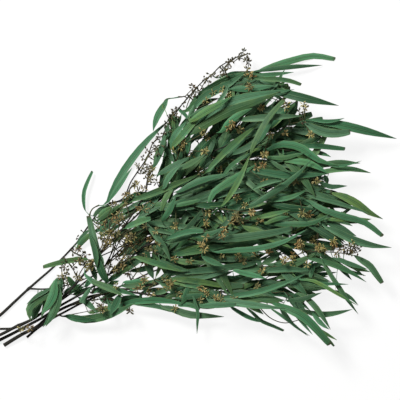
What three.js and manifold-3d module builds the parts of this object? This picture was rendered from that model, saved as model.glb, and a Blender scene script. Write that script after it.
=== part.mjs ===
// A loose bunch of dried seeded eucalyptus that lies flat: cut stems gathered at one end, their side
// twigs, long narrow leaves on leafy shoots, and umbels of pointed buds. Millimetres, +Z up.
import * as THREE from "three";
import { mergeVertices } from "three/addons/utils/BufferGeometryUtils.js";
import Module from "manifold-3d";

const wasm = await Module();
wasm.setup();

// Driving dimensions, mm
const gridStep = 1.6; // the places below are steps of a grid laid over the bunch, right and down
const gridMiddle = [192, 197.25]; // the grid place that lies over the origin
const seam = 0.3; // gap between pieces that touch
const stemSides = 5;
const twigSides = 4;
const forkShare = 0.6; // radius of a fork at its root, as a share of its stem's
const forkLeast = 1.1; // radius of a stem or fork at its tip
const twigRadius = 1.35; // leafy shoot at its root
const twigTipRadius = 1.15;
const twigShare = 0.8; // a twig is no thicker than this share of the wood that it leaves
const petioleHalfWidth = 0.8;
const petioleRoot = 0.6; // half width and height of the end that is sunk in the twig
const midribHeight = 1.25; // thickness of a leaf along its midrib
const petioleReach = 9; // how far a leaf's stalk runs before the blade may begin
const longStalk = 14.4; // a blade that begins farther off than this keeps its own beginning
const rootSetback = 3; // a leaf or umbel is rooted this far behind its nearest place on the twig
const umbelCore = 1.1; // radius of the knot that the buds of an umbel spring from
const stalkRadius = 0.75;
const budLength = 7.2;
const budRadius = 1.3;
const budWaist = 0.6; // where a bud is widest, as a share of its length
const umbelRise = 0.8; // height of an umbel above its knot, as a share of a bud's length
// Seeded ranges of the buds' rise off the level and turn off the stalk's heading, radians
const upperBuds = { rise: [0.3, 0.7], turn: [0.5, 1] };
const aheadBud = { rise: [-0.12, 0.05], turn: [0.1, 0.3] };
// The eight faces of an umbel's core: ahead or behind, left or right, up or down
const umbelFaces = [
  [1, 1, 1], [-1, 1, 1], [-1, -1, 1], [1, -1, 1],
  [1, 1, -1], [1, -1, -1], [-1, 1, -1], [-1, -1, -1],
];
const cutTipShare = 0.62; // width of a squarely cut tip, as a share of the leaf's
// Leaves placed by rule: seeded ranges of length, width, swing off the twig and bow, and how many are cut
const fill = { length: [95, 150], width: [9, 14], swing: [0.18, 0.62], bow: [-0.22, 0.22], cutShare: 0.15 };
// Stations along a blade, and its width at them as shares of the leaf's own
const placedBlade = { shares: [0, 0.2, 0.46, 0.74, 1], widths: [0.3, 0.86, 1, 0.74, 0] };
const fillBlade = { shares: [0, 0.24, 0.62, 1], widths: [0.3, 0.9, 1, 0] };
const fillPlaces = [0.08, 0.55, 1]; // along a leaf placed by rule, as shares of its length
const leastFill = 58; // such a leaf is cut back by this step, and no further, until its tip is inside the rim
const cutBack = 0.93;
const mostTurn = 0.1; // seeded roll of a blade about its midrib, radians
const twigCorridor = 9.5; // half width of the strip that a twig or stem is laid clear over
const bareLength = 105; // of each cut stem, before its first side twig
const longestSpan = 46; // between two stations of a stem
const forkNeck = 10; // from a fork's root to its second station
const twigNeck = 4; // a twig's level start, square to the wood
const cellSize = 1.5; // of the map of heights
const cellReach = 1.25; // half a cell's diagonal and a little
const rowLength = 4096; // more cells than a row of the map has
const smoothings = 12;

// How each kind bends over what it lies on: the radius in mm of a bend up and of a droop past it, and
// the steepest rise that its own stiffness carries on
const stemBend = { lift: 1500, droop: 420, slope: 0.1 };
const twigBend = { lift: 260, droop: 240, slope: 0.2 };
const leafBend = { lift: 130, droop: 170, slope: 0.25 };

const onTable = ([right, down]) => [
  (right - gridMiddle[0]) * gridStep,
  (gridMiddle[1] - down) * gridStep,
];
// Rim of the close foliage, past which only the leaves with places of their own reach
const rim = [
  [236, 74], [284, 76], [300, 102], [292, 114], [332, 128], [314, 152], [328, 168], [328, 188], [354, 206],
  [340, 224], [352, 240], [336, 252], [350, 264], [330, 278], [336, 290], [304, 298], [316, 318],
  [268, 302], [100, 310], [50, 300], [100, 200], [180, 100],
].map(onTable);
const leaf = (width, ...places) => ({ width, blade: places.map(onTable), cut: false });
const cutLeaf = (width, ...places) => ({ width, blade: places.map(onTable), cut: true });

// Branches from the lowest to the topmost. Each has its main stem, its forks, and shoots from the tip back.
// A shoot's first place is where it leaves the wood. more is the number of leaves placed by rule. sink is
// how far a stem is let down below its height over the map, which is a little generous.
const branches = [
  {
    name: "ThinBranch",
    radius: 1.9,
    sink: 0,
    stem: [[-9, 330], [0, 329.5], [11, 329], [28, 322], [44, 312], [70, 294], [100, 270], [130, 240],
      [160, 212], [195, 180], [230, 155], [262, 138]],
    forks: [[[130, 240], [170, 226], [215, 206], [255, 192]]],
    shoots: [
      { places: [[262, 138], [275, 131], [290, 126]], more: 6, leaves: [], buds: [[285, 133]] },
      { places: [[230, 155], [255, 160], [275, 163]], more: 7, leaves: [], buds: [[293, 187]] },
      { places: [[195, 180], [214, 160], [226, 142], [236, 128]], more: 7, leaves: [], buds: [] },
      { places: [[255, 192], [280, 190], [302, 188]], more: 7, leaves: [], buds: [[315, 181]] },
      { places: [[215, 206], [238, 214], [262, 220]], more: 7, leaves: [], buds: [[259, 226]] },
      { places: [[160, 212], [174, 190], [186, 168]], more: 6, leaves: [], buds: [[200, 170]] },
    ],
  },
  {
    name: "ShortBranch",
    radius: 2.1,
    sink: 0,
    stem: [[26, 338], [36, 329.5], [50, 320], [80, 304], [115, 289], [150, 273], [190, 257], [230, 244],
      [268, 237]],
    forks: [[[115, 289], [155, 290], [200, 285], [245, 277]]],
    shoots: [
      { places: [[268, 237], [288, 236], [306, 238]], more: 7, leaves: [], buds: [[320, 250]] },
      { places: [[245, 277], [266, 280], [286, 284]], more: 6, leaves: [], buds: [[291, 268]] },
      { places: [[200, 285], [220, 292], [240, 296]], more: 5, leaves: [], buds: [[205, 297]] },
      { places: [[190, 257], [210, 246], [228, 234]], more: 7, leaves: [], buds: [] },
      { places: [[150, 273], [160, 258], [180, 246]], more: 6, leaves: [], buds: [[164, 248]] },
    ],
  },
  {
    name: "EdgeBranch",
    radius: 2.6,
    sink: 0.4,
    stem: [[-9, 322], [0, 315], [28, 289], [51, 269], [67, 253], [77, 242], [88, 226], [106, 205],
      [122, 199], [131, 181], [137, 172], [148, 155], [152, 144], [158, 138]],
    forks: [
      [[28, 289], [38, 289.5], [49, 289], [72, 284], [90, 277]],
      [[112, 202.5], [140, 197], [165, 188], [188, 176]],
    ],
    shoots: [
      { places: [[188, 176], [205, 174], [222, 170]], more: 5, leaves: [], buds: [] },
      {
        places: [[124, 200], [132, 203], [142, 206]], more: 0,
        leaves: [leaf(10.5, [128, 201], [145, 198], [165, 191], [183, 182], [200, 174])],
        buds: [[141, 213]],
      },
      {
        places: [[92, 222], [89, 216], [92, 209], [99, 205]], more: 0,
        leaves: [
          leaf(12, [105, 205], [112, 190], [122, 172], [135, 155], [150, 137], [170, 119]),
          cutLeaf(6.5, [86, 212], [82.5, 200], [84, 188], [92, 171]),
        ],
        buds: [],
      },
      { places: [[137, 172], [141, 170], [146, 167]], more: 0, leaves: [], buds: [[138, 166], [147, 172]] },
      { places: [[125, 193], [130, 188], [135, 184]], more: 0, leaves: [], buds: [[136, 184], [129, 196]] },
      { places: [[70, 250], [78, 255], [84, 260]], more: 0, leaves: [], buds: [[84, 263], [78, 249]] },
    ],
  },
  {
    name: "LowerBranch",
    radius: 3.1,
    sink: 0,
    stem: [[3, 346], [21, 335], [36.5, 327], [48, 317], [62, 309], [89, 297], [120, 291], [155, 284],
      [190, 277], [225, 269], [258, 261], [285, 253]],
    forks: [[[120, 291], [160, 296], [200, 294], [240, 291], [272, 288]]],
    shoots: [
      {
        places: [[285, 253], [305, 252], [330, 252], [350, 254]], more: 1,
        leaves: [
          cutLeaf(11, [356, 256], [370, 266], [382, 283]),
          leaf(8, [332, 256], [350, 264], [367, 269]),
          leaf(9, [305, 256], [330, 263], [350, 272], [366, 282]),
          leaf(8, [322, 262], [335, 282], [346, 298], [358, 314]),
        ],
        buds: [[333, 243], [353, 250]],
      },
      {
        places: [[258, 261], [275, 266], [292, 272]], more: 1,
        leaves: [
          leaf(6.5, [293, 279], [315, 283], [348, 284]),
          leaf(6, [297, 278], [315, 280], [334, 292], [357, 305]),
          leaf(11, [264, 270], [285, 268], [310, 270]),
        ],
        buds: [[285, 260]],
      },
      {
        places: [[272, 288], [284, 292], [296, 300]], more: 1,
        leaves: [
          leaf(9.5, [300, 308], [315, 315], [335, 313], [352, 309]),
          leaf(9.5, [295, 293], [308, 298], [320, 313], [330, 329]),
          leaf(8, [285, 303], [300, 299], [321, 292]),
          leaf(5, [292, 311], [302, 322], [312, 334]),
        ],
        buds: [],
      },
      {
        places: [[240, 291], [254, 299], [268, 303]], more: 0,
        leaves: [
          cutLeaf(14, [270, 303], [297, 311], [313, 325], [329, 344]),
          leaf(5, [270, 308], [289, 321], [308, 336]),
          cutLeaf(6, [246, 306], [260, 320], [284, 331]),
        ],
        buds: [[257, 287]],
      },
      {
        places: [[190, 277], [200, 287], [212, 296]], more: 0,
        leaves: [
          leaf(9.5, [212, 296], [250, 294], [280, 284], [306, 273]),
          leaf(12, [206, 301], [240, 303], [285, 308]),
        ],
        buds: [[222, 302]],
      },
      {
        places: [[155, 284], [160, 281], [168, 278]], more: 0,
        leaves: [
          leaf(11, [170, 276], [200, 270], [240, 266], [262, 261], [277, 251]),
          cutLeaf(9.5, [172, 279], [200, 281], [222, 286]),
        ],
        buds: [[170, 285]],
      },
      {
        places: [[160, 296], [172, 299], [186, 301]], more: 0,
        leaves: [
          leaf(12, [160, 303], [172, 309], [190, 315], [224, 317]),
          leaf(5.5, [192, 295], [198, 310], [197, 334]),
        ],
        buds: [],
      },
      {
        places: [[104, 294], [112, 300], [122, 303]], more: 0,
        leaves: [
          leaf(11, [114, 305], [140, 300], [165, 300], [190, 306]),
          leaf(10, [108, 302], [111, 309], [112, 315]),
        ],
        buds: [[130, 310]],
      },
      {
        places: [[55, 313], [58, 316], [63, 317]], more: 0,
        leaves: [leaf(14.5, [64, 317], [85, 320], [110, 315], [135, 303])],
        buds: [[104, 308]],
      },
    ],
  },
  {
    name: "MiddleBranch",
    radius: 2.7,
    sink: 0.4,
    stem: [[-12, 346], [0, 340], [14, 333], [41, 318.5], [60, 306], [88, 290], [115, 270], [145, 246],
      [175, 225], [210, 205], [245, 192], [272, 186]],
    forks: [[[145, 246], [185, 235], [225, 226], [262, 220], [292, 217]]],
    shoots: [
      {
        places: [[272, 186], [295, 183], [315, 186], [328, 190]], more: 1,
        leaves: [
          leaf(8, [303, 176], [318, 173], [345, 168.5], [371, 173]),
          leaf(13, [330, 192], [345, 197], [357, 204], [366, 211], [383, 219]),
          leaf(8, [316, 183], [330, 187], [347, 186]),
        ],
        buds: [[315, 181]],
      },
      {
        places: [[292, 217], [305, 220], [320, 222]], more: 1,
        leaves: [
          leaf(12.5, [322, 225], [345, 236], [362, 244], [391, 247.5]),
          leaf(8, [322, 220], [340, 219], [371, 219]),
        ],
        buds: [[297, 246], [317, 248]],
      },
      {
        places: [[245, 192], [262, 198], [282, 200], [302, 199]], more: 1,
        leaves: [
          cutLeaf(11, [306, 200], [315, 206], [330, 213], [350, 218], [366, 223], [382, 236]),
          leaf(7, [304, 196], [333, 202], [350, 207], [370, 214]),
          leaf(12, [270, 202], [290, 208], [315, 209]),
          leaf(8, [262, 199], [290, 198], [306, 190]),
        ],
        buds: [[302, 212], [237, 198]],
      },
      {
        places: [[225, 226], [235, 222], [250, 220]], more: 1,
        leaves: [
          leaf(9.5, [262, 222], [285, 224.5], [312, 223], [329, 214]),
          leaf(8, [252, 219], [276, 213], [290, 210]),
        ],
        buds: [[235, 216]],
      },
      {
        places: [[210, 205], [224, 209], [238, 211]], more: 0,
        leaves: [leaf(12, [243, 209], [262, 199], [280, 188], [293, 177], [308, 160])],
        buds: [[252, 212], [208, 213]],
      },
      {
        places: [[185, 235], [193, 240], [203, 246]], more: 0,
        leaves: [
          cutLeaf(13, [205, 241], [235, 238], [265, 234], [292, 228]),
          leaf(9.5, [212, 251], [255, 249], [285, 241], [307, 229]),
          leaf(9.5, [202, 256], [213, 262], [225, 266]),
        ],
        buds: [[205, 247], [224, 232]],
      },
      {
        places: [[145, 246], [152, 251], [160, 255]], more: 0,
        leaves: [
          leaf(10, [160, 262], [172, 267], [190, 271]),
          leaf(9, [168, 258], [185, 262], [205, 262]),
        ],
        buds: [[145, 262]],
      },
      {
        places: [[115, 270], [122, 265], [130, 259]], more: 0,
        leaves: [leaf(10, [133, 257], [147, 260], [166, 266], [184, 272])],
        buds: [[145, 278]],
      },
      {
        places: [[88, 290], [96, 285], [104, 284]], more: 0,
        leaves: [cutLeaf(12, [107, 281], [99, 262], [94, 240], [88, 216])],
        buds: [],
      },
    ],
  },
  {
    name: "UpperBranch",
    radius: 2.6,
    sink: 0.8,
    stem: [[-10, 339], [0, 335], [17.5, 326], [32, 319.5], [45, 310.5], [62, 298], [80, 279], [100, 253],
      [118, 234], [134, 212], [146, 191], [148, 178], [155, 166], [161, 156], [163, 135], [171, 121],
      [179, 108], [189, 96], [204, 80], [212, 74], [220, 66], [230, 60], [238, 56], [248, 53]],
    forks: [
      [[118, 234], [145, 207], [172, 174], [200, 145], [228, 123], [250, 104]],
      [[172, 174], [210, 153], [245, 138], [275, 128]],
    ],
    shoots: [
      {
        places: [[275, 128], [290, 124], [306, 122]], more: 1,
        leaves: [
          leaf(14, [314, 123], [330, 123], [350, 127], [370, 132], [397, 138.5]),
          cutLeaf(14, [300, 123], [315, 130], [330, 135], [350, 132]),
          leaf(6, [312, 119], [330, 122], [344, 118.5]),
        ],
        buds: [[310, 135], [305, 108]],
      },
      {
        places: [[245, 138], [262, 146], [285, 150], [305, 152]], more: 1,
        leaves: [
          cutLeaf(9, [298, 144], [320, 146], [345, 149]),
          leaf(4.5, [312, 155], [330, 166], [352, 164.5], [361, 161]),
          leaf(11, [283, 160], [310, 163], [328, 174]),
          leaf(12.5, [262, 147], [285, 142.5], [308, 150], [318, 160], [338, 166]),
          leaf(7, [264, 156], [280, 159], [308, 152]),
        ],
        buds: [[270, 135], [264, 165]],
      },
      {
        places: [[212, 74], [232, 72], [250, 71]], more: 0,
        leaves: [
          cutLeaf(11, [256, 72], [292, 60], [313, 55], [336, 58.5]),
          leaf(8, [252, 71], [290, 66.5], [323, 64.5]),
          leaf(8, [244, 76], [265, 75], [294, 72]),
        ],
        buds: [[247, 77], [249, 62]],
      },
      {
        places: [[250, 104], [257, 99], [264, 94]], more: 1,
        leaves: [
          leaf(14, [262, 92], [285, 93], [300, 98], [338, 106]),
          leaf(6, [266, 93], [276, 85], [285, 69]),
          leaf(11, [258, 110], [280, 117], [303, 116]),
        ],
        buds: [[286, 104], [262, 107]],
      },
      {
        places: [[189, 96], [210, 90], [232, 86], [248, 83]], more: 0,
        leaves: [
          cutLeaf(8, [255, 79], [285, 79.5], [301, 85]),
          leaf(11, [228, 88], [250, 89], [275, 86]),
          leaf(9.5, [212, 85], [225, 79], [246, 72]),
        ],
        buds: [[249, 88], [206, 98]],
      },
      {
        places: [[210, 153], [224, 158], [240, 162]], more: 1,
        leaves: [
          leaf(8, [246, 158], [262, 137], [270, 122], [283, 100]),
          leaf(9.5, [230, 156], [245, 149], [262, 140]),
          leaf(12, [248, 170], [270, 173], [290, 176], [328, 174]),
        ],
        buds: [[264, 182], [264, 155]],
      },
      {
        places: [[200, 145], [214, 134], [228, 126]], more: 0,
        leaves: [
          leaf(9, [218, 131], [222, 125], [232, 117], [254, 107]),
          leaf(11, [236, 121], [265, 118], [303, 116]),
          leaf(8, [214, 138], [212, 145], [208, 158]),
        ],
        buds: [[240, 130], [228, 128]],
      },
      {
        places: [[178, 168], [178, 156], [180, 145]], more: 0,
        leaves: [
          leaf(14, [180, 141], [205, 118], [225, 104], [250, 96], [294, 90]),
          leaf(15, [186, 138], [215, 118], [235, 109], [258, 101], [280, 92]),
          leaf(10, [171, 150], [172, 140], [180, 129], [187, 121]),
        ],
        buds: [[204, 133], [204, 152]],
      },
      {
        places: [[145, 207], [165, 204], [190, 206], [203, 207]], more: 0,
        leaves: [
          leaf(11, [206, 207], [212, 194], [228, 182], [257, 164]),
          leaf(9, [221, 206], [230, 195], [240, 178], [250, 154]),
          leaf(9, [172, 197], [195, 186], [215, 179], [230, 174]),
          leaf(8, [168, 207], [185, 204], [203, 199]),
          leaf(9.5, [162, 213], [163, 204], [170, 190], [178, 171]),
        ],
        buds: [[206, 222], [176, 226]],
      },
      {
        places: [[179, 108], [186, 110], [192, 112]], more: 0,
        leaves: [
          leaf(13, [188, 110], [195, 103], [215, 91], [232, 82], [245, 72]),
          leaf(10, [190, 117], [205, 110], [222, 102]),
        ],
        buds: [[223, 97]],
      },
      {
        places: [[187, 98], [183, 96.5], [178, 96.5]], more: 0,
        leaves: [leaf(11, [168, 99], [163, 107], [156, 118], [153, 131])],
        buds: [[193, 88]],
      },
      {
        places: [[147, 184], [150, 179], [153, 174]], more: 0,
        leaves: [
          leaf(8, [153, 168], [160, 155], [163, 140], [170, 128]),
          leaf(10.5, [157, 175], [172, 167], [190, 157]),
        ],
        buds: [[146, 174]],
      },
      {
        places: [[126, 223], [134, 222], [142, 221]], more: 0,
        leaves: [
          leaf(9.5, [130, 225], [140, 220], [151, 218]),
          leaf(9.5, [148, 224], [158, 238], [166, 250], [171, 262]),
        ],
        buds: [[130, 236], [120, 214]],
      },
      {
        places: [[88, 269], [91, 264], [93, 259]], more: 0,
        leaves: [
          cutLeaf(9, [88, 262], [75, 259], [60, 262], [43, 267]),
          leaf(10.5, [84, 275], [92, 281], [115, 289], [138, 296]),
        ],
        buds: [[104, 247]],
      },
      {
        places: [[64, 296], [64, 288], [63, 280]], more: 0,
        leaves: [
          leaf(13, [59, 278], [52, 290], [46, 305], [41, 318]),
          leaf(14, [63, 283], [58, 297], [53, 313], [43, 327]),
          leaf(14, [54, 291], [40, 297], [29, 308], [31, 321]),
          leaf(6.5, [52, 288], [38, 295], [27, 304]),
        ],
        buds: [[66, 275]],
      },
      { places: [[238, 56], [241, 58], [245, 60]], more: 0, leaves: [], buds: [[246, 60], [243, 52]] },
      { places: [[17, 326], [20, 329], [25, 330]], more: 0, leaves: [], buds: [[21, 329], [30, 328]] },
      { places: [[220, 66], [224, 68], [228, 70]], more: 0, leaves: [], buds: [[229, 62], [225, 72]] },
      { places: [[171, 121], [169, 119], [167, 115]], more: 0, leaves: [], buds: [[172, 115], [166, 124]] },
    ],
  },
];

// Seeded draws, so that the bunch is the same each time
let seed = 20261;
function draw(low, high) {
  seed = (seed * 16807) % 2147483647;
  return low + ((high - low) * seed) / 2147483647;
}

const between = (a, b, share) => a.map((value, i) => value + (b[i] - value) * share);
const flatDistance = (a, b) => Math.hypot(b[0] - a[0], b[1] - a[1]);

function routeLength(route) {
  return route.slice(1).reduce((sum, point, i) => sum + flatDistance(route[i], point), 0);
}

// The point of a route at a distance along it, seen from above
function along(route, distance) {
  let left = distance;
  for (let i = 1; i < route.length; i += 1) {
    const span = flatDistance(route[i - 1], route[i]);
    if (left <= span || i === route.length - 1) return between(route[i - 1], route[i], left / span);
    left -= span;
  }
  return route[0];
}

// The distance along a route of its nearest point to a place, and how far off that is
function nearest(route, place) {
  let best = { off: Infinity, distance: 0 };
  let passed = 0;
  for (let i = 1; i < route.length; i += 1) {
    const [a, b] = [route[i - 1], route[i]];
    const span = flatDistance(a, b);
    const dot = (place[0] - a[0]) * (b[0] - a[0]) + (place[1] - a[1]) * (b[1] - a[1]);
    const share = Math.min(1, Math.max(0, dot / span ** 2));
    const off = flatDistance(between(a, b, share), place);
    if (off < best.off) best = { off, distance: passed + share * span };
    passed += span;
  }
  return best;
}

// The map of how high the bunch already reaches over each cell of the table
const heights = new Map();

function eachCell(from, to, reachFrom, reachTo, visit) {
  const steps = Math.max(1, Math.ceil(flatDistance(from, to) / (cellSize / 2)));
  for (let step = 0; step <= steps; step += 1) {
    const share = step / steps;
    const [x, y] = between(from, to, share);
    const reach = reachFrom + (reachTo - reachFrom) * share + cellReach;
    for (let i = Math.ceil((x - reach) / cellSize); i * cellSize <= x + reach; i += 1) {
      for (let j = Math.ceil((y - reach) / cellSize); j * cellSize <= y + reach; j += 1) {
        if (Math.hypot(i * cellSize - x, j * cellSize - y) <= reach) visit(i * rowLength + j, share);
      }
    }
  }
}

function highestUnder(from, to, reachFrom, reachTo) {
  let highest = 0;
  eachCell(from, to, reachFrom, reachTo, (cell) => {
    highest = Math.max(highest, heights.get(cell) ?? 0);
  });
  return highest;
}

function cover(stations, reaches, above) {
  for (let i = 1; i < stations.length; i += 1) {
    eachCell(stations[i - 1], stations[i], reaches[i - 1], reaches[i], (cell, share) => {
      const top = between(stations[i - 1], stations[i], share)[2];
      const rise = above[i - 1] + (above[i] - above[i - 1]) * share;
      heights.set(cell, Math.max(heights.get(cell) ?? 0, top + rise));
    });
  }
}

// Lays a strip over what is there: each station gets its height, with gentle bends up and down.
// under is how far the strip reaches below its axis, and held are the heights of a joined end.
function settle(plan, reaches, under, bend, held = [], clearance = seam) {
  const spans = plan.slice(1).map((to, i) => {
    const highest = highestUnder(plan[i], to, reaches[i], reaches[i + 1]);
    return highest > 0 ? highest + clearance : 0;
  });
  const z = plan.map((_, i) => Math.max(spans[i - 1] ?? 0, spans[i] ?? 0) + under[i]);
  z.splice(0, held.length, ...held);
  const lengths = plan.slice(1).map((to, i) => flatDistance(plan[i], to));
  for (let pass = 0; pass < smoothings; pass += 1) {
    for (let i = Math.max(1, held.length); i < z.length - 1; i += 1) {
      const [before, after] = [lengths[i - 1], lengths[i]];
      const chord = (z[i - 1] * after + z[i + 1] * before) / (before + after);
      z[i] = Math.max(z[i], chord - (before * after) / (2 * bend.lift));
    }
    for (let i = Math.max(2, held.length); i < z.length; i += 1) {
      const [before, after] = [lengths[i - 2], lengths[i - 1]];
      const slope = Math.min(bend.slope, (z[i - 1] - z[i - 2]) / before);
      z[i] = Math.max(z[i], z[i - 1] + slope * after - (after * (before + after)) / (2 * bend.droop));
    }
  }
  return plan.map(([x, y], i) => [x, y, z[i]]);
}

// A closed body from loose triangles whose corners meet
function solidOf(triangles) {
  const corners = new Float32Array(triangles.flatMap((face) => face.flatMap((p) => [p.x, p.y, p.z])));
  const loose = new THREE.BufferGeometry();
  loose.setAttribute("position", new THREE.BufferAttribute(corners, 3));
  const merged = mergeVertices(loose, 1e-4);
  return new wasm.Manifold(
    new wasm.Mesh({
      numProp: 3,
      vertProperties: merged.getAttribute("position").array,
      triVerts: new Uint32Array(merged.index.array),
    }),
  );
}

// A closed skin over rings of equally many points; a ring of one point is a pointed end
function skin(rings) {
  const sides = Math.max(...rings.map((ring) => ring.length));
  const corner = (ring, k) => ring[ring.length === 1 ? 0 : k % sides];
  const triangles = [];
  for (let i = 1; i < rings.length; i += 1) {
    const [low, high] = [rings[i - 1], rings[i]];
    for (let k = 0; k < sides; k += 1) {
      if (high.length > 1) triangles.push([corner(low, k), corner(high, k + 1), corner(high, k)]);
      if (low.length > 1) triangles.push([corner(low, k), corner(low, k + 1), corner(high, k + 1)]);
    }
  }
  for (let k = 2; k < sides; k += 1) {
    const [first, last] = [rings[0], rings[rings.length - 1]];
    if (first.length > 1) triangles.push([first[0], first[k], first[k - 1]]);
    if (last.length > 1) triangles.push([last[0], last[k - 1], last[k]]);
  }
  return solidOf(triangles);
}

// The station's place and its directions along, sideways and up, rolled about the first
function frameAt(axis, i, roll = 0) {
  const here = new THREE.Vector3(...axis[i]);
  const before = new THREE.Vector3(...axis[Math.max(0, i - 1)]);
  const after = new THREE.Vector3(...axis[Math.min(axis.length - 1, i + 1)]);
  const forward = after.sub(before).normalize();
  const side = new THREE.Vector3(-forward.y, forward.x, 0).normalize().applyAxisAngle(forward, roll);
  const up = forward.clone().cross(side);
  return { here, side, up };
}

// A round stem or twig: one ring of points at each station
function rod(axis, radii, sides) {
  return skin(
    axis.map((_, i) => {
      const { here, side, up } = frameAt(axis, i);
      return Array.from({ length: sides }, (__, k) => {
        const angle = Math.PI / 2 + (2 * Math.PI * k) / sides;
        return here
          .clone()
          .addScaledVector(side, Math.cos(angle) * radii[i])
          .addScaledVector(up, Math.sin(angle) * radii[i]);
      });
    }),
  );
}

// Splits the spans of a route that are longer than the given step
function divided(route, longest) {
  return route.flatMap((point, i) => {
    if (i === 0) return [point];
    const parts = Math.ceil(flatDistance(route[i - 1], point) / longest);
    return Array.from({ length: parts }, (_, k) => between(route[i - 1], point, (k + 1) / parts));
  });
}

function nearestWood(woods, place) {
  const off = (wood) => nearest(wood.axis, place).off;
  return woods.reduce((best, wood) => (off(wood) < off(best) ? wood : best));
}

// A stem or fork with the twigs that it leaves room for; a fork begins on its parent's axis
function layWood(places, radius, sink, parent) {
  let plan = divided(places.map(onTable), longestSpan);
  const held = [];
  if (parent) {
    const root = along(parent.axis, nearest(parent.axis, plan[0]).distance);
    held.push(root[2]);
    plan = [root.slice(0, 2), along([root, plan[1]], forkNeck), ...plan.slice(1)];
  }
  const passed = plan.map((_, i) => routeLength(plan.slice(0, i + 1)));
  const radii = passed.map((length) => radius + ((forkLeast - radius) * length) / routeLength(plan));
  const corridor = passed.map((length) => (!parent && length < bareLength ? radius : twigCorridor));
  const under = radii.map((r) => r * Math.cos(Math.PI / stemSides));
  const axis = settle(plan, corridor, under, stemBend, held, seam - sink);
  cover(axis, radii, radii);
  return { axis, radii, solid: rod(axis, radii, stemSides) };
}

// A twig leaves the wood at right angles, its root face against the bark, and then turns along its route
function layTwig(places, woods) {
  const route = places.map(onTable);
  const wood = nearestWood(woods, route[0]);
  const whole = routeLength(wood.axis);
  const distance = Math.min(whole - 1, Math.max(1, nearest(wood.axis, route[0]).distance));
  const [foot, ahead] = [along(wood.axis, distance), along(wood.axis, distance + 1)];
  const [woodRadius] = between(wood.radii.slice(0, 1), wood.radii.slice(-1), distance / whole);
  const heading = [ahead[0] - foot[0], ahead[1] - foot[1]];
  const turn = heading[0] * (route[1][1] - foot[1]) - heading[1] * (route[1][0] - foot[0]);
  const across = Math.sign(turn) / Math.hypot(...heading);
  const outward = (reach) => [foot[0] - heading[1] * across * reach, foot[1] + heading[0] * across * reach];
  const start = woodRadius + seam;
  const plan = [outward(start), outward(start + twigNeck), ...route.slice(1)];
  const rootRadius = Math.min(twigRadius, woodRadius * twigShare);
  const tipRadius = Math.min(twigTipRadius, rootRadius);
  const radii = plan.map((_, i) => rootRadius + ((tipRadius - rootRadius) * i) / (plan.length - 1));
  const axis = settle(plan, plan.map(() => twigCorridor), radii, twigBend, [foot[2], foot[2]]);
  return { axis, radii, solid: rod(axis, radii, twigSides) };
}

// Where a leaf or umbel springs from its twig
function rootOn(twig, place) {
  const distance = Math.max(rootSetback, nearest(twig.axis, place).distance - rootSetback);
  return along(twig.axis, Math.min(routeLength(twig.axis) - 1, distance));
}

// A leaf is flat below and ridged along its midrib above, and narrows into a stalk that is sunk in the twig
function layLeaf(twig, { width, blade, cut }, stations) {
  const root = rootOn(twig, blade[0]);
  const rootPlace = root.slice(0, 2);
  const collar = along([rootPlace, blade[0]], petioleReach);
  const isFar = flatDistance(root, blade[0]) > longStalk;
  const route = isFar ? blade : [collar, ...blade.slice(1)];
  const length = routeLength(route);
  const plan = [rootPlace, ...stations.shares.map((share) => along(route, share * length))];
  const halfWidths = [petioleRoot, ...stations.widths.map((share) => (share * width) / 2)];
  if (cut) halfWidths[halfWidths.length - 1] = (cutTipShare * width) / 2;
  if (isFar) {
    plan.splice(1, 0, collar);
    halfWidths.splice(1, 0, petioleHalfWidth);
  }
  const roll = draw(-mostTurn, mostTurn);
  const rolls = plan.map((_, i) => (i < 2 ? 0 : (roll * (i - 1)) / (plan.length - 2)));
  const tilt = halfWidths.map((half, i) => half * Math.abs(Math.sin(rolls[i])));
  const axis = settle(plan, halfWidths, tilt, leafBend, [root[2]]);
  cover(axis, halfWidths, tilt.map((rise) => Math.max(rise, midribHeight)));
  return skin(
    axis.map((_, i) => {
      const { here, side, up } = frameAt(axis, i, rolls[i]);
      if (halfWidths[i] === 0) return [here];
      return [
        here.clone().addScaledVector(side, halfWidths[i]),
        here.clone().addScaledVector(up, i === 0 ? petioleRoot : midribHeight),
        here.clone().addScaledVector(side, -halfWidths[i]),
      ];
    }),
  );
}

// Whether a place lies inside an outline: a line from it crosses the outline an odd number of times
function isInside([x, y], outline) {
  return outline.reduce((inside, [x1, y1], i) => {
    const [x2, y2] = outline[(i + 1) % outline.length];
    const isCrossed = y1 > y !== y2 > y && x < x1 + ((x2 - x1) * (y - y1)) / (y2 - y1);
    return isCrossed ? !inside : inside;
  }, false);
}

// A leaf placed by rule: on alternate sides of the twig, pointing forward
function fillLeaf(twig, index, count) {
  const whole = routeLength(twig.axis);
  const distance = whole * (1 - (index + 0.5) / count);
  const [foot, ahead] = [along(twig.axis, distance), along(twig.axis, Math.min(whole, distance + 1))];
  const heading = Math.atan2(ahead[1] - foot[1], ahead[0] - foot[0]);
  const swing = (index % 2 ? 1 : -1) * draw(...fill.swing);
  let length = draw(...fill.length);
  const bow = draw(...fill.bow);
  const placeAt = (share) => {
    const angle = heading + swing + bow * share;
    return [foot[0] + length * share * Math.cos(angle), foot[1] + length * share * Math.sin(angle)];
  };
  while (length > leastFill && !isInside(placeAt(1), rim)) length *= cutBack;
  return { width: draw(...fill.width), blade: fillPlaces.map(placeAt), cut: draw(0, 1) < fill.cutShare };
}

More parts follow.
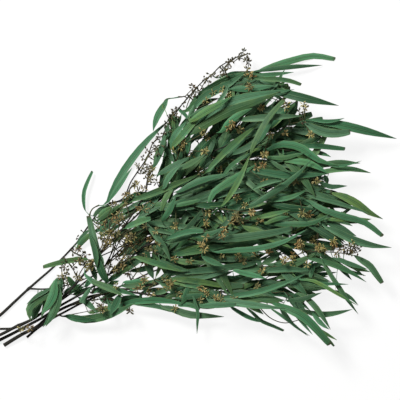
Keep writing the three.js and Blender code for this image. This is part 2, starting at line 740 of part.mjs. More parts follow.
// An umbel as one body: the faces of a small eight-sided core draw out into pointed buds, four up and
// round and one ahead, and a lower face behind draws out into the stalk down to the twig.
function umbelBody([root, bend, centre]) {
  const [foot, knee, head] = [root, bend, centre].map((point) => new THREE.Vector3(...point));
  const forward = head.clone().sub(foot).setZ(0).normalize();
  const side = new THREE.Vector3(-forward.y, forward.x, 0);
  const toward = (x, y, z) => forward.clone().multiplyScalar(x).addScaledVector(side, y).setZ(z);
  const triangles = [];
  const drawOut = (rings) => {
    for (let i = 1; i < rings.length; i += 1) {
      for (let k = 0; k < 3; k += 1) {
        const next = (k + 1) % 3;
        const [low, high] = [rings[i - 1], rings[i]];
        if (high.length === 1) triangles.push([low[k], low[next], high[0]]);
        else triangles.push([low[k], low[next], high[next]], [low[k], high[next], high[k]]);
      }
    }
  };
  // The corners of a face, moved to a middle and spread to a radius round an axis
  const ringAt = (face, middle, axis, radius) => {
    const heart = face[0].clone().add(face[1]).add(face[2]).divideScalar(3);
    return face.map((corner) => {
      const spoke = corner.clone().sub(heart);
      return spoke.addScaledVector(axis, -spoke.dot(axis)).setLength(radius).add(middle);
    });
  };
  for (const [x, y, z] of umbelFaces) {
    const corners = [toward(x, 0, 0), toward(0, y, 0), toward(0, 0, z)];
    const face = corners.map((corner) => corner.multiplyScalar(umbelCore).add(head));
    if (x * y * z < 0) face.reverse();
    if (z > 0 || (x > 0 && y > 0)) {
      const rise = draw(...(z > 0 ? upperBuds : aheadBud).rise);
      const turn = draw(...(z > 0 ? upperBuds : aheadBud).turn);
      const reach = draw(0.85, 1.15) * budLength;
      const level = Math.cos(rise);
      const axis = toward(x * Math.cos(turn) * level, y * Math.sin(turn) * level, Math.sin(rise));
      const waist = head.clone().addScaledVector(axis, reach * budWaist);
      const tip = head.clone().addScaledVector(axis, reach);
      drawOut([face, ringAt(face, waist, axis, budRadius), [tip]]);
    } else if (x < 0 && y < 0) {
      const middle = ringAt(face, knee, foot.clone().sub(head).normalize(), stalkRadius);
      const last = ringAt(face, foot, foot.clone().sub(knee).normalize(), stalkRadius);
      drawOut([face, middle, last]);
      triangles.push(last);
    } else triangles.push(face);
  }
  return solidOf(triangles);
}

// An umbel laid on the bunch, its stalk rooted in the twig
function layUmbel(twig, place) {
  const centre = onTable(place);
  const root = rootOn(twig, centre);
  const plan = [root.slice(0, 2), between(root.slice(0, 2), centre, 0.5), centre];
  const under = [0, stalkRadius, budRadius + umbelCore];
  const axis = settle(plan, [stalkRadius, stalkRadius, budLength], under, twigBend, [root[2]]);
  const rise = budLength * umbelRise;
  cover([axis[2], axis[2]], [budLength, budLength], [rise, rise]);
  return umbelBody(axis);
}

const join = (solids) => solids.reduce((whole, solid) => whole.add(solid));

function nodeMesh(name, solid, material) {
  const { numProp, vertProperties, triVerts } = solid.getMesh();
  const corners = new Float32Array((vertProperties.length / numProp) * 3);
  for (let i = 0; i < corners.length; i += 1) {
    corners[i] = vertProperties[Math.floor(i / 3) * numProp + (i % 3)];
  }
  const geometry = new THREE.BufferGeometry();
  geometry.setAttribute("position", new THREE.BufferAttribute(corners, 3));
  geometry.setIndex(new THREE.BufferAttribute(new Uint32Array(triVerts), 1));
  const mesh = new THREE.Mesh(mergeVertices(geometry, 1e-4), material);
  mesh.name = name;
  return mesh;
}

const woodMaterial = new THREE.MeshStandardMaterial({ color: 0x2b231b, roughness: 0.85, metalness: 0 });
const leafMaterial = new THREE.MeshStandardMaterial({ color: 0x4b684b, roughness: 0.7, metalness: 0 });
const budMaterial = new THREE.MeshStandardMaterial({ color: 0x706b4c, roughness: 0.8, metalness: 0 });

const bunch = new THREE.Group();
for (const { name, radius, sink, stem, forks, shoots } of branches) {
  const woods = [layWood(stem, radius, sink)];
  for (const fork of forks) {
    woods.push(layWood(fork, radius * forkShare, sink, nearestWood(woods, onTable(fork[0]))));
  }
  bunch.add(nodeMesh(name + "Wood", join(woods.map((wood) => wood.solid)), woodMaterial));
  shoots.forEach(({ places, leaves, buds, more }, index) => {
    const twig = layTwig(places, woods);
    cover(twig.axis.slice(1), twig.radii.slice(1), twig.radii.slice(1));
    const solids = [twig.solid];
    for (let k = 0; k < more; k += 1) solids.push(layLeaf(twig, fillLeaf(twig, k, more), fillBlade));
    for (const each of leaves) solids.push(layLeaf(twig, each, placedBlade));
    for (const place of buds) solids.push(layUmbel(twig, place));
    const isSpray = leaves.length + more === 0;
    const label = name + (isSpray ? "BudSpray" : "Shoot") + (index + 1);
    bunch.add(nodeMesh(label, join(solids), isSpray ? budMaterial : leafMaterial));
  });
}

export default bunch;
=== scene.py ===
import bpy
import math
import random
import numpy as np
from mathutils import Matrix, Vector


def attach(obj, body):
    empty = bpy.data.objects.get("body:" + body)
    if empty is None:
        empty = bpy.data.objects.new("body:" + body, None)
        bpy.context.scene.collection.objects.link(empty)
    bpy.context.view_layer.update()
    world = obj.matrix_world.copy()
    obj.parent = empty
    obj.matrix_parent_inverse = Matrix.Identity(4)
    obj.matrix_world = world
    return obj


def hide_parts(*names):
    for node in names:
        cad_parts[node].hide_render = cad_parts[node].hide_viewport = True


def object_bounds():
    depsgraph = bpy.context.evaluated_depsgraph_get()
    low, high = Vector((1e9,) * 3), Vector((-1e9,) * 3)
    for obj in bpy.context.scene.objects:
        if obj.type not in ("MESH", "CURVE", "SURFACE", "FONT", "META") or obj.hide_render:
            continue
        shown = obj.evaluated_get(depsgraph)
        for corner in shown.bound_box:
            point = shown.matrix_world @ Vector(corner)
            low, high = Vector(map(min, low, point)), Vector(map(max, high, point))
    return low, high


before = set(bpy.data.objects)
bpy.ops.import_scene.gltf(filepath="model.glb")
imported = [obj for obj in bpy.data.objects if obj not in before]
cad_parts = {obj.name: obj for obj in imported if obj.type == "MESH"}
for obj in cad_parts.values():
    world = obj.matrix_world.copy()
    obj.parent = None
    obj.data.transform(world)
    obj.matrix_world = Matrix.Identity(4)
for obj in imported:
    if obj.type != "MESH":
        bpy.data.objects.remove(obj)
cadLow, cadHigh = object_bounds()
milli = 0.001
print("frame loaded:", len(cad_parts), "nodes")

# The camera looks straight down, from far off, as in the photograph
viewPoint = {
    "over": (0.0128, -0.0044), "height": 6.0, "spanAcross": 0.64, "bunchMiddle": 0.03, "farthest": 60,
}
bpy.ops.object.camera_add(location=(*viewPoint["over"], viewPoint["height"]), rotation=(0, 0, 0))
camera = bpy.context.active_object
viewReach = viewPoint["height"] - viewPoint["bunchMiddle"]
camera.data.lens = camera.data.sensor_width * viewReach / viewPoint["spanAcross"]
camera.data.clip_end = viewPoint["farthest"]
bpy.context.scene.camera = camera

# How the bunch grew: the same branches, shoots and seeded draws as the solids
growth = {
    "gridStep": 1.6, "gridMiddle": (192, 197.25), "seam": 0.3, "stemSides": 5,
    "forkShare": 0.6, "forkLeast": 1.1, "twigRadius": 1.35, "twigTipRadius": 1.15, "twigShare": 0.8,
    "petioleHalfWidth": 0.8, "petioleRoot": 0.6, "midribHeight": 1.25, "petioleReach": 9, "longStalk": 14.4,
    "rootSetback": 3, "umbelCore": 1.1, "stalkRadius": 0.75, "budLength": 7.2, "budRadius": 1.3,
    "umbelRise": 0.8, "cutTipShare": 0.62, "mostTurn": 0.1, "twigCorridor": 9.5, "bareLength": 105,
    "longestSpan": 46, "forkNeck": 10, "twigNeck": 4, "cellSize": 1.5, "cellReach": 1.25, "smoothings": 12,
    "upperRise": (0.3, 0.7), "upperTurn": (0.5, 1), "aheadRise": (-0.12, 0.05), "aheadTurn": (0.1, 0.3),
    "budVary": (0.85, 1.15),
}
fillRanges = {
    "length": (95, 150), "width": (9, 14), "swing": (0.18, 0.62), "bow": (-0.22, 0.22), "cutShare": 0.15,
    "least": 58, "cutBack": 0.93,
}
placedBlade = {"shares": (0, 0.2, 0.46, 0.74, 1), "widths": (0.3, 0.86, 1, 0.74, 0)}
fillBlade = {"shares": (0, 0.24, 0.62, 1), "widths": (0.3, 0.9, 1, 0), "places": (0.08, 0.55, 1)}
stemBend = {"lift": 1500, "droop": 420, "slope": 0.1}  # mm
twigBend = {"lift": 260, "droop": 240, "slope": 0.2}
leafBend = {"lift": 130, "droop": 170, "slope": 0.25}


# Places are grid steps right and down, in pairs, and become mm on the table
def way(*steps):
    middle, size = growth["gridMiddle"], growth["gridStep"]
    pairs = zip(steps[::2], steps[1::2])
    return [((right - middle[0]) * size, (middle[1] - down) * size) for right, down in pairs]


def leaf(width, *blade):
    return {"width": width, "blade": way(*blade), "cut": False}


def cutLeaf(width, *blade):
    return {**leaf(width, *blade), "cut": True}


def shoot(more, twig, buds, *leaves):
    return {"more": more, "twig": twig, "buds": buds, "leaves": leaves}


def branch(name, radius, sink, stem, forks, *shoots):
    return {"name": name, "radius": radius, "sink": sink, "stem": stem, "forks": forks, "shoots": shoots}


# Rim of the close foliage, past which only the leaves with places of their own reach
rim = way(
    236, 74, 284, 76, 300, 102, 292, 114, 332, 128, 314, 152, 328, 168, 328, 188, 354, 206, 340, 224,
    352, 240, 336, 252, 350, 264, 330, 278, 336, 290, 304, 298, 316, 318, 268, 302, 100, 310, 50, 300,
    100, 200, 180, 100,
)
# Lowest branch first: stem radius, how far it sinks into what it lies on, stem, forks and shoots
branches = [
    branch("ThinBranch", 1.9, 0,
        way(-9, 330, 0, 329.5, 11, 329, 28, 322, 44, 312, 70, 294, 100, 270, 130, 240, 160, 212, 195, 180,
            230, 155, 262, 138),
        [way(130, 240, 170, 226, 215, 206, 255, 192)],
        shoot(6, way(262, 138, 275, 131, 290, 126), way(285, 133)),
        shoot(7, way(230, 155, 255, 160, 275, 163), way(293, 187)),
        shoot(7, way(195, 180, 214, 160, 226, 142, 236, 128), []),
        shoot(7, way(255, 192, 280, 190, 302, 188), way(315, 181)),
        shoot(7, way(215, 206, 238, 214, 262, 220), way(259, 226)),
        shoot(6, way(160, 212, 174, 190, 186, 168), way(200, 170)),
    ),
    branch("ShortBranch", 2.1, 0,
        way(26, 338, 36, 329.5, 50, 320, 80, 304, 115, 289, 150, 273, 190, 257, 230, 244, 268, 237),
        [way(115, 289, 155, 290, 200, 285, 245, 277)],
        shoot(7, way(268, 237, 288, 236, 306, 238), way(320, 250)),
        shoot(6, way(245, 277, 266, 280, 286, 284), way(291, 268)),
        shoot(5, way(200, 285, 220, 292, 240, 296), way(205, 297)),
        shoot(7, way(190, 257, 210, 246, 228, 234), []),
        shoot(6, way(150, 273, 160, 258, 180, 246), way(164, 248)),
    ),
    branch("EdgeBranch", 2.6, 0.4,
        way(-9, 322, 0, 315, 28, 289, 51, 269, 67, 253, 77, 242, 88, 226, 106, 205, 122, 199, 131, 181, 137,
            172, 148, 155, 152, 144, 158, 138),
        [way(28, 289, 38, 289.5, 49, 289, 72, 284, 90, 277), way(112, 202.5, 140, 197, 165, 188, 188, 176)],
        shoot(5, way(188, 176, 205, 174, 222, 170), []),
        shoot(0, way(124, 200, 132, 203, 142, 206), way(141, 213),
            leaf(10.5, 128, 201, 145, 198, 165, 191, 183, 182, 200, 174)),
        shoot(0, way(92, 222, 89, 216, 92, 209, 99, 205), [],
            leaf(12, 105, 205, 112, 190, 122, 172, 135, 155, 150, 137, 170, 119),
            cutLeaf(6.5, 86, 212, 82.5, 200, 84, 188, 92, 171)),
        shoot(0, way(137, 172, 141, 170, 146, 167), way(138, 166, 147, 172)),
        shoot(0, way(125, 193, 130, 188, 135, 184), way(136, 184, 129, 196)),
        shoot(0, way(70, 250, 78, 255, 84, 260), way(84, 263, 78, 249)),
    ),
    branch("LowerBranch", 3.1, 0,
        way(3, 346, 21, 335, 36.5, 327, 48, 317, 62, 309, 89, 297, 120, 291, 155, 284, 190, 277, 225, 269,
            258, 261, 285, 253),
        [way(120, 291, 160, 296, 200, 294, 240, 291, 272, 288)],
        shoot(1, way(285, 253, 305, 252, 330, 252, 350, 254), way(333, 243, 353, 250),
            cutLeaf(11, 356, 256, 370, 266, 382, 283), leaf(8, 332, 256, 350, 264, 367, 269),
            leaf(9, 305, 256, 330, 263, 350, 272, 366, 282),
            leaf(8, 322, 262, 335, 282, 346, 298, 358, 314)),
        shoot(1, way(258, 261, 275, 266, 292, 272), way(285, 260), leaf(6.5, 293, 279, 315, 283, 348, 284),
            leaf(6, 297, 278, 315, 280, 334, 292, 357, 305), leaf(11, 264, 270, 285, 268, 310, 270)),
        shoot(1, way(272, 288, 284, 292, 296, 300), [], leaf(9.5, 300, 308, 315, 315, 335, 313, 352, 309),
            leaf(9.5, 295, 293, 308, 298, 320, 313, 330, 329), leaf(8, 285, 303, 300, 299, 321, 292),
            leaf(5, 292, 311, 302, 322, 312, 334)),
        shoot(0, way(240, 291, 254, 299, 268, 303), way(257, 287),
            cutLeaf(14, 270, 303, 297, 311, 313, 325, 329, 344), leaf(5, 270, 308, 289, 321, 308, 336),
            cutLeaf(6, 246, 306, 260, 320, 284, 331)),
        shoot(0, way(190, 277, 200, 287, 212, 296), way(222, 302),
            leaf(9.5, 212, 296, 250, 294, 280, 284, 306, 273), leaf(12, 206, 301, 240, 303, 285, 308)),
        shoot(0, way(155, 284, 160, 281, 168, 278), way(170, 285),
            leaf(11, 170, 276, 200, 270, 240, 266, 262, 261, 277, 251),
            cutLeaf(9.5, 172, 279, 200, 281, 222, 286)),
        shoot(0, way(160, 296, 172, 299, 186, 301), [], leaf(12, 160, 303, 172, 309, 190, 315, 224, 317),
            leaf(5.5, 192, 295, 198, 310, 197, 334)),
        shoot(0, way(104, 294, 112, 300, 122, 303), way(130, 310),
            leaf(11, 114, 305, 140, 300, 165, 300, 190, 306), leaf(10, 108, 302, 111, 309, 112, 315)),
        shoot(0, way(55, 313, 58, 316, 63, 317), way(104, 308),
            leaf(14.5, 64, 317, 85, 320, 110, 315, 135, 303)),
    ),
    branch("MiddleBranch", 2.7, 0.4,
        way(-12, 346, 0, 340, 14, 333, 41, 318.5, 60, 306, 88, 290, 115, 270, 145, 246, 175, 225, 210, 205,
            245, 192, 272, 186),
        [way(145, 246, 185, 235, 225, 226, 262, 220, 292, 217)],
        shoot(1, way(272, 186, 295, 183, 315, 186, 328, 190), way(315, 181),
            leaf(8, 303, 176, 318, 173, 345, 168.5, 371, 173),
            leaf(13, 330, 192, 345, 197, 357, 204, 366, 211, 383, 219),
            leaf(8, 316, 183, 330, 187, 347, 186)),
        shoot(1, way(292, 217, 305, 220, 320, 222), way(297, 246, 317, 248),
            leaf(12.5, 322, 225, 345, 236, 362, 244, 391, 247.5), leaf(8, 322, 220, 340, 219, 371, 219)),
        shoot(1, way(245, 192, 262, 198, 282, 200, 302, 199), way(302, 212, 237, 198),
            cutLeaf(11, 306, 200, 315, 206, 330, 213, 350, 218, 366, 223, 382, 236),
            leaf(7, 304, 196, 333, 202, 350, 207, 370, 214), leaf(12, 270, 202, 290, 208, 315, 209),
            leaf(8, 262, 199, 290, 198, 306, 190)),
        shoot(1, way(225, 226, 235, 222, 250, 220), way(235, 216),
            leaf(9.5, 262, 222, 285, 224.5, 312, 223, 329, 214), leaf(8, 252, 219, 276, 213, 290, 210)),
        shoot(0, way(210, 205, 224, 209, 238, 211), way(252, 212, 208, 213),
            leaf(12, 243, 209, 262, 199, 280, 188, 293, 177, 308, 160)),
        shoot(0, way(185, 235, 193, 240, 203, 246), way(205, 247, 224, 232),
            cutLeaf(13, 205, 241, 235, 238, 265, 234, 292, 228),
            leaf(9.5, 212, 251, 255, 249, 285, 241, 307, 229), leaf(9.5, 202, 256, 213, 262, 225, 266)),
        shoot(0, way(145, 246, 152, 251, 160, 255), way(145, 262), leaf(10, 160, 262, 172, 267, 190, 271),
            leaf(9, 168, 258, 185, 262, 205, 262)),
        shoot(0, way(115, 270, 122, 265, 130, 259), way(145, 278),
            leaf(10, 133, 257, 147, 260, 166, 266, 184, 272)),
        shoot(0, way(88, 290, 96, 285, 104, 284), [], cutLeaf(12, 107, 281, 99, 262, 94, 240, 88, 216)),
    ),
    branch("UpperBranch", 2.6, 0.8,
        way(-10, 339, 0, 335, 17.5, 326, 32, 319.5, 45, 310.5, 62, 298, 80, 279, 100, 253, 118, 234, 134,
            212, 146, 191, 148, 178, 155, 166, 161, 156, 163, 135, 171, 121, 179, 108, 189, 96, 204, 80,
            212, 74, 220, 66, 230, 60, 238, 56, 248, 53),
        [way(118, 234, 145, 207, 172, 174, 200, 145, 228, 123, 250, 104),
            way(172, 174, 210, 153, 245, 138, 275, 128)],
        shoot(1, way(275, 128, 290, 124, 306, 122), way(310, 135, 305, 108),
            leaf(14, 314, 123, 330, 123, 350, 127, 370, 132, 397, 138.5),
            cutLeaf(14, 300, 123, 315, 130, 330, 135, 350, 132), leaf(6, 312, 119, 330, 122, 344, 118.5)),
        shoot(1, way(245, 138, 262, 146, 285, 150, 305, 152), way(270, 135, 264, 165),
            cutLeaf(9, 298, 144, 320, 146, 345, 149), leaf(4.5, 312, 155, 330, 166, 352, 164.5, 361, 161),
            leaf(11, 283, 160, 310, 163, 328, 174),
            leaf(12.5, 262, 147, 285, 142.5, 308, 150, 318, 160, 338, 166),
            leaf(7, 264, 156, 280, 159, 308, 152)),
        shoot(0, way(212, 74, 232, 72, 250, 71), way(247, 77, 249, 62),
            cutLeaf(11, 256, 72, 292, 60, 313, 55, 336, 58.5), leaf(8, 252, 71, 290, 66.5, 323, 64.5),
            leaf(8, 244, 76, 265, 75, 294, 72)),
        shoot(1, way(250, 104, 257, 99, 264, 94), way(286, 104, 262, 107),
            leaf(14, 262, 92, 285, 93, 300, 98, 338, 106), leaf(6, 266, 93, 276, 85, 285, 69),
            leaf(11, 258, 110, 280, 117, 303, 116)),
        shoot(0, way(189, 96, 210, 90, 232, 86, 248, 83), way(249, 88, 206, 98),
            cutLeaf(8, 255, 79, 285, 79.5, 301, 85), leaf(11, 228, 88, 250, 89, 275, 86),
            leaf(9.5, 212, 85, 225, 79, 246, 72)),
        shoot(1, way(210, 153, 224, 158, 240, 162), way(264, 182, 264, 155),
            leaf(8, 246, 158, 262, 137, 270, 122, 283, 100), leaf(9.5, 230, 156, 245, 149, 262, 140),
            leaf(12, 248, 170, 270, 173, 290, 176, 328, 174)),
        shoot(0, way(200, 145, 214, 134, 228, 126), way(240, 130, 228, 128),
            leaf(9, 218, 131, 222, 125, 232, 117, 254, 107), leaf(11, 236, 121, 265, 118, 303, 116),
            leaf(8, 214, 138, 212, 145, 208, 158)),
        shoot(0, way(178, 168, 178, 156, 180, 145), way(204, 133, 204, 152),
            leaf(14, 180, 141, 205, 118, 225, 104, 250, 96, 294, 90),
            leaf(15, 186, 138, 215, 118, 235, 109, 258, 101, 280, 92),
            leaf(10, 171, 150, 172, 140, 180, 129, 187, 121)),
        shoot(0, way(145, 207, 165, 204, 190, 206, 203, 207), way(206, 222, 176, 226),
            leaf(11, 206, 207, 212, 194, 228, 182, 257, 164),
            leaf(9, 221, 206, 230, 195, 240, 178, 250, 154),
            leaf(9, 172, 197, 195, 186, 215, 179, 230, 174), leaf(8, 168, 207, 185, 204, 203, 199),
            leaf(9.5, 162, 213, 163, 204, 170, 190, 178, 171)),
        shoot(0, way(179, 108, 186, 110, 192, 112), way(223, 97),
            leaf(13, 188, 110, 195, 103, 215, 91, 232, 82, 245, 72),
            leaf(10, 190, 117, 205, 110, 222, 102)),
        shoot(0, way(187, 98, 183, 96.5, 178, 96.5), way(193, 88),
            leaf(11, 168, 99, 163, 107, 156, 118, 153, 131)),
        shoot(0, way(147, 184, 150, 179, 153, 174), way(146, 174),
            leaf(8, 153, 168, 160, 155, 163, 140, 170, 128), leaf(10.5, 157, 175, 172, 167, 190, 157)),
        shoot(0, way(126, 223, 134, 222, 142, 221), way(130, 236, 120, 214),
            leaf(9.5, 130, 225, 140, 220, 151, 218), leaf(9.5, 148, 224, 158, 238, 166, 250, 171, 262)),
        shoot(0, way(88, 269, 91, 264, 93, 259), way(104, 247),
            cutLeaf(9, 88, 262, 75, 259, 60, 262, 43, 267),
            leaf(10.5, 84, 275, 92, 281, 115, 289, 138, 296)),
        shoot(0, way(64, 296, 64, 288, 63, 280), way(66, 275), leaf(13, 59, 278, 52, 290, 46, 305, 41, 318),
            leaf(14, 63, 283, 58, 297, 53, 313, 43, 327), leaf(14, 54, 291, 40, 297, 29, 308, 31, 321),
            leaf(6.5, 52, 288, 38, 295, 27, 304)),
        shoot(0, way(238, 56, 241, 58, 245, 60), way(246, 60, 243, 52)),
        shoot(0, way(17, 326, 20, 329, 25, 330), way(21, 329, 30, 328)),
        shoot(0, way(220, 66, 224, 68, 228, 70), way(229, 62, 225, 72)),
        shoot(0, way(171, 121, 169, 119, 167, 115), way(172, 115, 166, 124)),
    ),
]

growthSeed = 20261


def draw(low, high):
    global growthSeed
    growthSeed = (growthSeed * 16807) % 2147483647
    return low + (high - low) * growthSeed / 2147483647


def between(a, b, share):
    return tuple(value + (b[i] - value) * share for i, value in enumerate(a))


def flatDistance(a, b):
    return math.hypot(b[0] - a[0], b[1] - a[1])


def routeLength(route):
    return sum(flatDistance(a, b) for a, b in zip(route, route[1:]))


def along(route, distance):
    left = distance
    for i in range(1, len(route)):
        span = flatDistance(route[i - 1], route[i])
        if left <= span or i == len(route) - 1:
            return between(route[i - 1], route[i], left / span)
        left -= span
    return route[0]


def nearest(route, place):
    best, passed = (math.inf, 0), 0
    for a, b in zip(route, route[1:]):
        span = flatDistance(a, b)
        dot = (place[0] - a[0]) * (b[0] - a[0]) + (place[1] - a[1]) * (b[1] - a[1])
        share = min(1, max(0, dot / span**2))
        off = flatDistance(between(a, b, share), place)
        if off < best[0]:
            best = (off, passed + share * span)
        passed += span
    return best


# The map of how high the bunch reaches over each cell of the table
mapHalf = 300
heightMap = np.zeros((2 * mapHalf, 2 * mapHalf))


def cellsAlong(start, end, reachStart, reachEnd, field=heightMap, extra=growth["cellReach"]):
    size = growth["cellSize"]
    steps = max(1, math.ceil(flatDistance(start, end) / (size / 2)))
    for step in range(steps + 1):
        share = step / steps
        x, y = between(start[:2], end[:2], share)
        reach = reachStart + (reachEnd - reachStart) * share + extra
        columns = np.arange(math.ceil((x - reach) / size), math.floor((x + reach) / size) + 1)
        rows = np.arange(math.ceil((y - reach) / size), math.floor((y + reach) / size) + 1)
        inside = np.hypot(columns[:, None] * size - x, rows[None, :] * size - y) <= reach
        patch = field[
            columns[0] + mapHalf : columns[-1] + mapHalf + 1, rows[0] + mapHalf : rows[-1] + mapHalf + 1
        ]
        yield share, patch, inside


def highestUnder(start, end, reachStart, reachEnd):
    highest = 0
    for _, patch, inside in cellsAlong(start, end, reachStart, reachEnd):
        highest = max(highest, float(patch[inside].max(initial=0)))
    return highest


def cover(stations, reaches, above, field=heightMap):
    for i in range(1, len(stations)):
        start, end = stations[i - 1], stations[i]
        for share, patch, inside in cellsAlong(start, end, reaches[i - 1], reaches[i], field):
            top = start[2] + (end[2] - start[2]) * share
            top += above[i - 1] + (above[i] - above[i - 1]) * share
            patch[inside] = np.maximum(patch[inside], top)


def settle(plan, reaches, under, bend, held=(), clearance=growth["seam"]):
    spans = []
    for i in range(1, len(plan)):
        highest = highestUnder(plan[i - 1], plan[i], reaches[i - 1], reaches[i])
        spans.append(highest + clearance if highest > 0 else 0)
    z = [
        max(spans[i - 1] if i > 0 else 0, spans[i] if i < len(spans) else 0) + under[i]
        for i in range(len(plan))
    ]
    z[: len(held)] = held
    lengths = [flatDistance(a, b) for a, b in zip(plan, plan[1:])]
    for _ in range(growth["smoothings"]):
        for i in range(max(1, len(held)), len(z) - 1):
            before, after = lengths[i - 1], lengths[i]
            chord = (z[i - 1] * after + z[i + 1] * before) / (before + after)
            z[i] = max(z[i], chord - before * after / (2 * bend["lift"]))
        for i in range(max(2, len(held)), len(z)):
            before, after = lengths[i - 2], lengths[i - 1]
            slope = min(bend["slope"], (z[i - 1] - z[i - 2]) / before)
            z[i] = max(z[i], z[i - 1] + slope * after - after * (before + after) / (2 * bend["droop"]))
    return [(point[0], point[1], z[i]) for i, point in enumerate(plan)]


def divided(route, longest):
    points = [route[0]]
    for a, b in zip(route, route[1:]):
        parts = math.ceil(flatDistance(a, b) / longest)
        points += [between(a, b, (k + 1) / parts) for k in range(parts)]
    return points


def nearestWood(woods, place):
    return min(woods, key=lambda wood: nearest(wood["axis"], place)[0])


def layWood(places, radius, sink, parent=None):
    plan = divided(places, growth["longestSpan"])
    held = []
    if parent:
        root = along(parent["axis"], nearest(parent["axis"], plan[0])[1])
        held = [root[2]]
        plan = [root[:2], along([root[:2], plan[1]], growth["forkNeck"]), *plan[1:]]
    passed = [routeLength(plan[: i + 1]) for i in range(len(plan))]
    radii = [radius + (growth["forkLeast"] - radius) * length / passed[-1] for length in passed]
    bareLength = 0 if parent else growth["bareLength"]
    corridor = [radius if length < bareLength else growth["twigCorridor"] for length in passed]
    under = [r * math.cos(math.pi / growth["stemSides"]) for r in radii]
    axis = settle(plan, corridor, under, stemBend, held, growth["seam"] - sink)
    cover(axis, radii, radii)
    return {"axis": axis, "radii": radii}


def layTwig(route, woods):
    wood = nearestWood(woods, route[0])
    whole = routeLength(wood["axis"])
    distance = min(whole - 1, max(1, nearest(wood["axis"], route[0])[1]))
    foot, ahead = along(wood["axis"], distance), along(wood["axis"], distance + 1)
    woodRadius = wood["radii"][0] + (wood["radii"][-1] - wood["radii"][0]) * distance / whole
    heading = (ahead[0] - foot[0], ahead[1] - foot[1])
    turn = heading[0] * (route[1][1] - foot[1]) - heading[1] * (route[1][0] - foot[0])
    across = math.copysign(1, turn) / math.hypot(*heading)
    start = woodRadius + growth["seam"]
    plan = [
        (foot[0] - heading[1] * across * reach, foot[1] + heading[0] * across * reach)
        for reach in (start, start + growth["twigNeck"])
    ] + route[1:]
    rootRadius = min(growth["twigRadius"], woodRadius * growth["twigShare"])
    tipRadius = min(growth["twigTipRadius"], rootRadius)
    radii = [rootRadius + (tipRadius - rootRadius) * i / (len(plan) - 1) for i in range(len(plan))]
    axis = settle(plan, [growth["twigCorridor"]] * len(plan), radii, twigBend, [foot[2], foot[2]])
    return {"axis": axis, "radii": radii, "foot": foot}


def rootOn(twig, place):
    distance = max(growth["rootSetback"], nearest(twig["axis"], place)[1] - growth["rootSetback"])
    return along(twig["axis"], min(routeLength(twig["axis"]) - 1, distance))


def layLeaf(twig, shape, stations):
    width, blade = shape["width"], shape["blade"]
    root = rootOn(twig, blade[0])
    collar = along([root[:2], blade[0]], growth["petioleReach"])
    isFar = flatDistance(root, blade[0]) > growth["longStalk"]
    route = blade if isFar else [collar, *blade[1:]]
    length = routeLength(route)
    plan = [root[:2], *[along(route, share * length) for share in stations["shares"]]]
    halfWidths = [growth["petioleRoot"], *[share * width / 2 for share in stations["widths"]]]
    if shape["cut"]:
        halfWidths[-1] = growth["cutTipShare"] * width / 2
    if isFar:
        plan.insert(1, collar)
        halfWidths.insert(1, growth["petioleHalfWidth"])
    roll = draw(-growth["mostTurn"], growth["mostTurn"])
    rolls = [0 if i < 2 else roll * (i - 1) / (len(plan) - 2) for i in range(len(plan))]
    tilt = [half * abs(math.sin(rolls[i])) for i, half in enumerate(halfWidths)]
    axis = settle(plan, halfWidths, tilt, leafBend, [root[2]])
    cover(axis, halfWidths, [max(rise, growth["midribHeight"]) for rise in tilt])
    return {"axis": axis, "collar": 2 if isFar else 1, "roll": roll, "width": width, "cut": shape["cut"]}


def isInside(place, outline):
    inside = False
    for (x1, y1), (x2, y2) in zip(outline, outline[1:] + outline[:1]):
        if (y1 > place[1]) != (y2 > place[1]) and place[0] < x1 + (x2 - x1) * (place[1] - y1) / (y2 - y1):
            inside = not inside
    return inside


def bladeFrom(foot, angle, bow, length, shares):
    turns = [(share, angle + bow * share) for share in shares]
    return [
        (foot[0] + length * share * math.cos(turn), foot[1] + length * share * math.sin(turn))
        for share, turn in turns
    ]


def headingAt(twig, distance):
    foot, ahead = along(twig["axis"], distance), along(twig["axis"], distance + 1)
    return foot, math.atan2(ahead[1] - foot[1], ahead[0] - foot[0])


def fillLeaf(twig, index, count):
    foot, heading = headingAt(twig, routeLength(twig["axis"]) * (1 - (index + 0.5) / count))
    angle = heading + (1 if index % 2 else -1) * draw(*fillRanges["swing"])
    length = draw(*fillRanges["length"])
    bow = draw(*fillRanges["bow"])
    blade = bladeFrom(foot, angle, bow, length, fillBlade["places"])
    while length > fillRanges["least"] and not isInside(blade[-1], rim):
        length *= fillRanges["cutBack"]
        blade = bladeFrom(foot, angle, bow, length, fillBlade["places"])
    return {"width": draw(*fillRanges["width"]), "blade": blade, "cut": draw(0, 1) < fillRanges["cutShare"]}


def layUmbel(twig, centre):
    root = rootOn(twig, centre)
    plan = [root[:2], between(root[:2], centre, 0.5), centre]
    under = (0, growth["stalkRadius"], growth["budRadius"] + growth["umbelCore"])
    reach = growth["budLength"]
    axis = settle(plan, (growth["stalkRadius"], growth["stalkRadius"], reach), under, twigBend, [root[2]])
    rise = reach * growth["umbelRise"]
    cover([axis[2], axis[2]], (reach, reach), (rise, rise))
    buds = []
    for x, y, z in ((1, 1, 1), (-1, 1, 1), (-1, -1, 1), (1, -1, 1), (1, 1, -1)):
        rise = draw(*growth["upperRise" if z > 0 else "aheadRise"])
        turn = draw(*growth["upperTurn" if z > 0 else "aheadTurn"])
        length = draw(*growth["budVary"]) * reach
        level = math.cos(rise)
        buds.append((x * math.cos(turn) * level, y * math.sin(turn) * level, math.sin(rise), length))
    return {"axis": axis, "buds": buds}


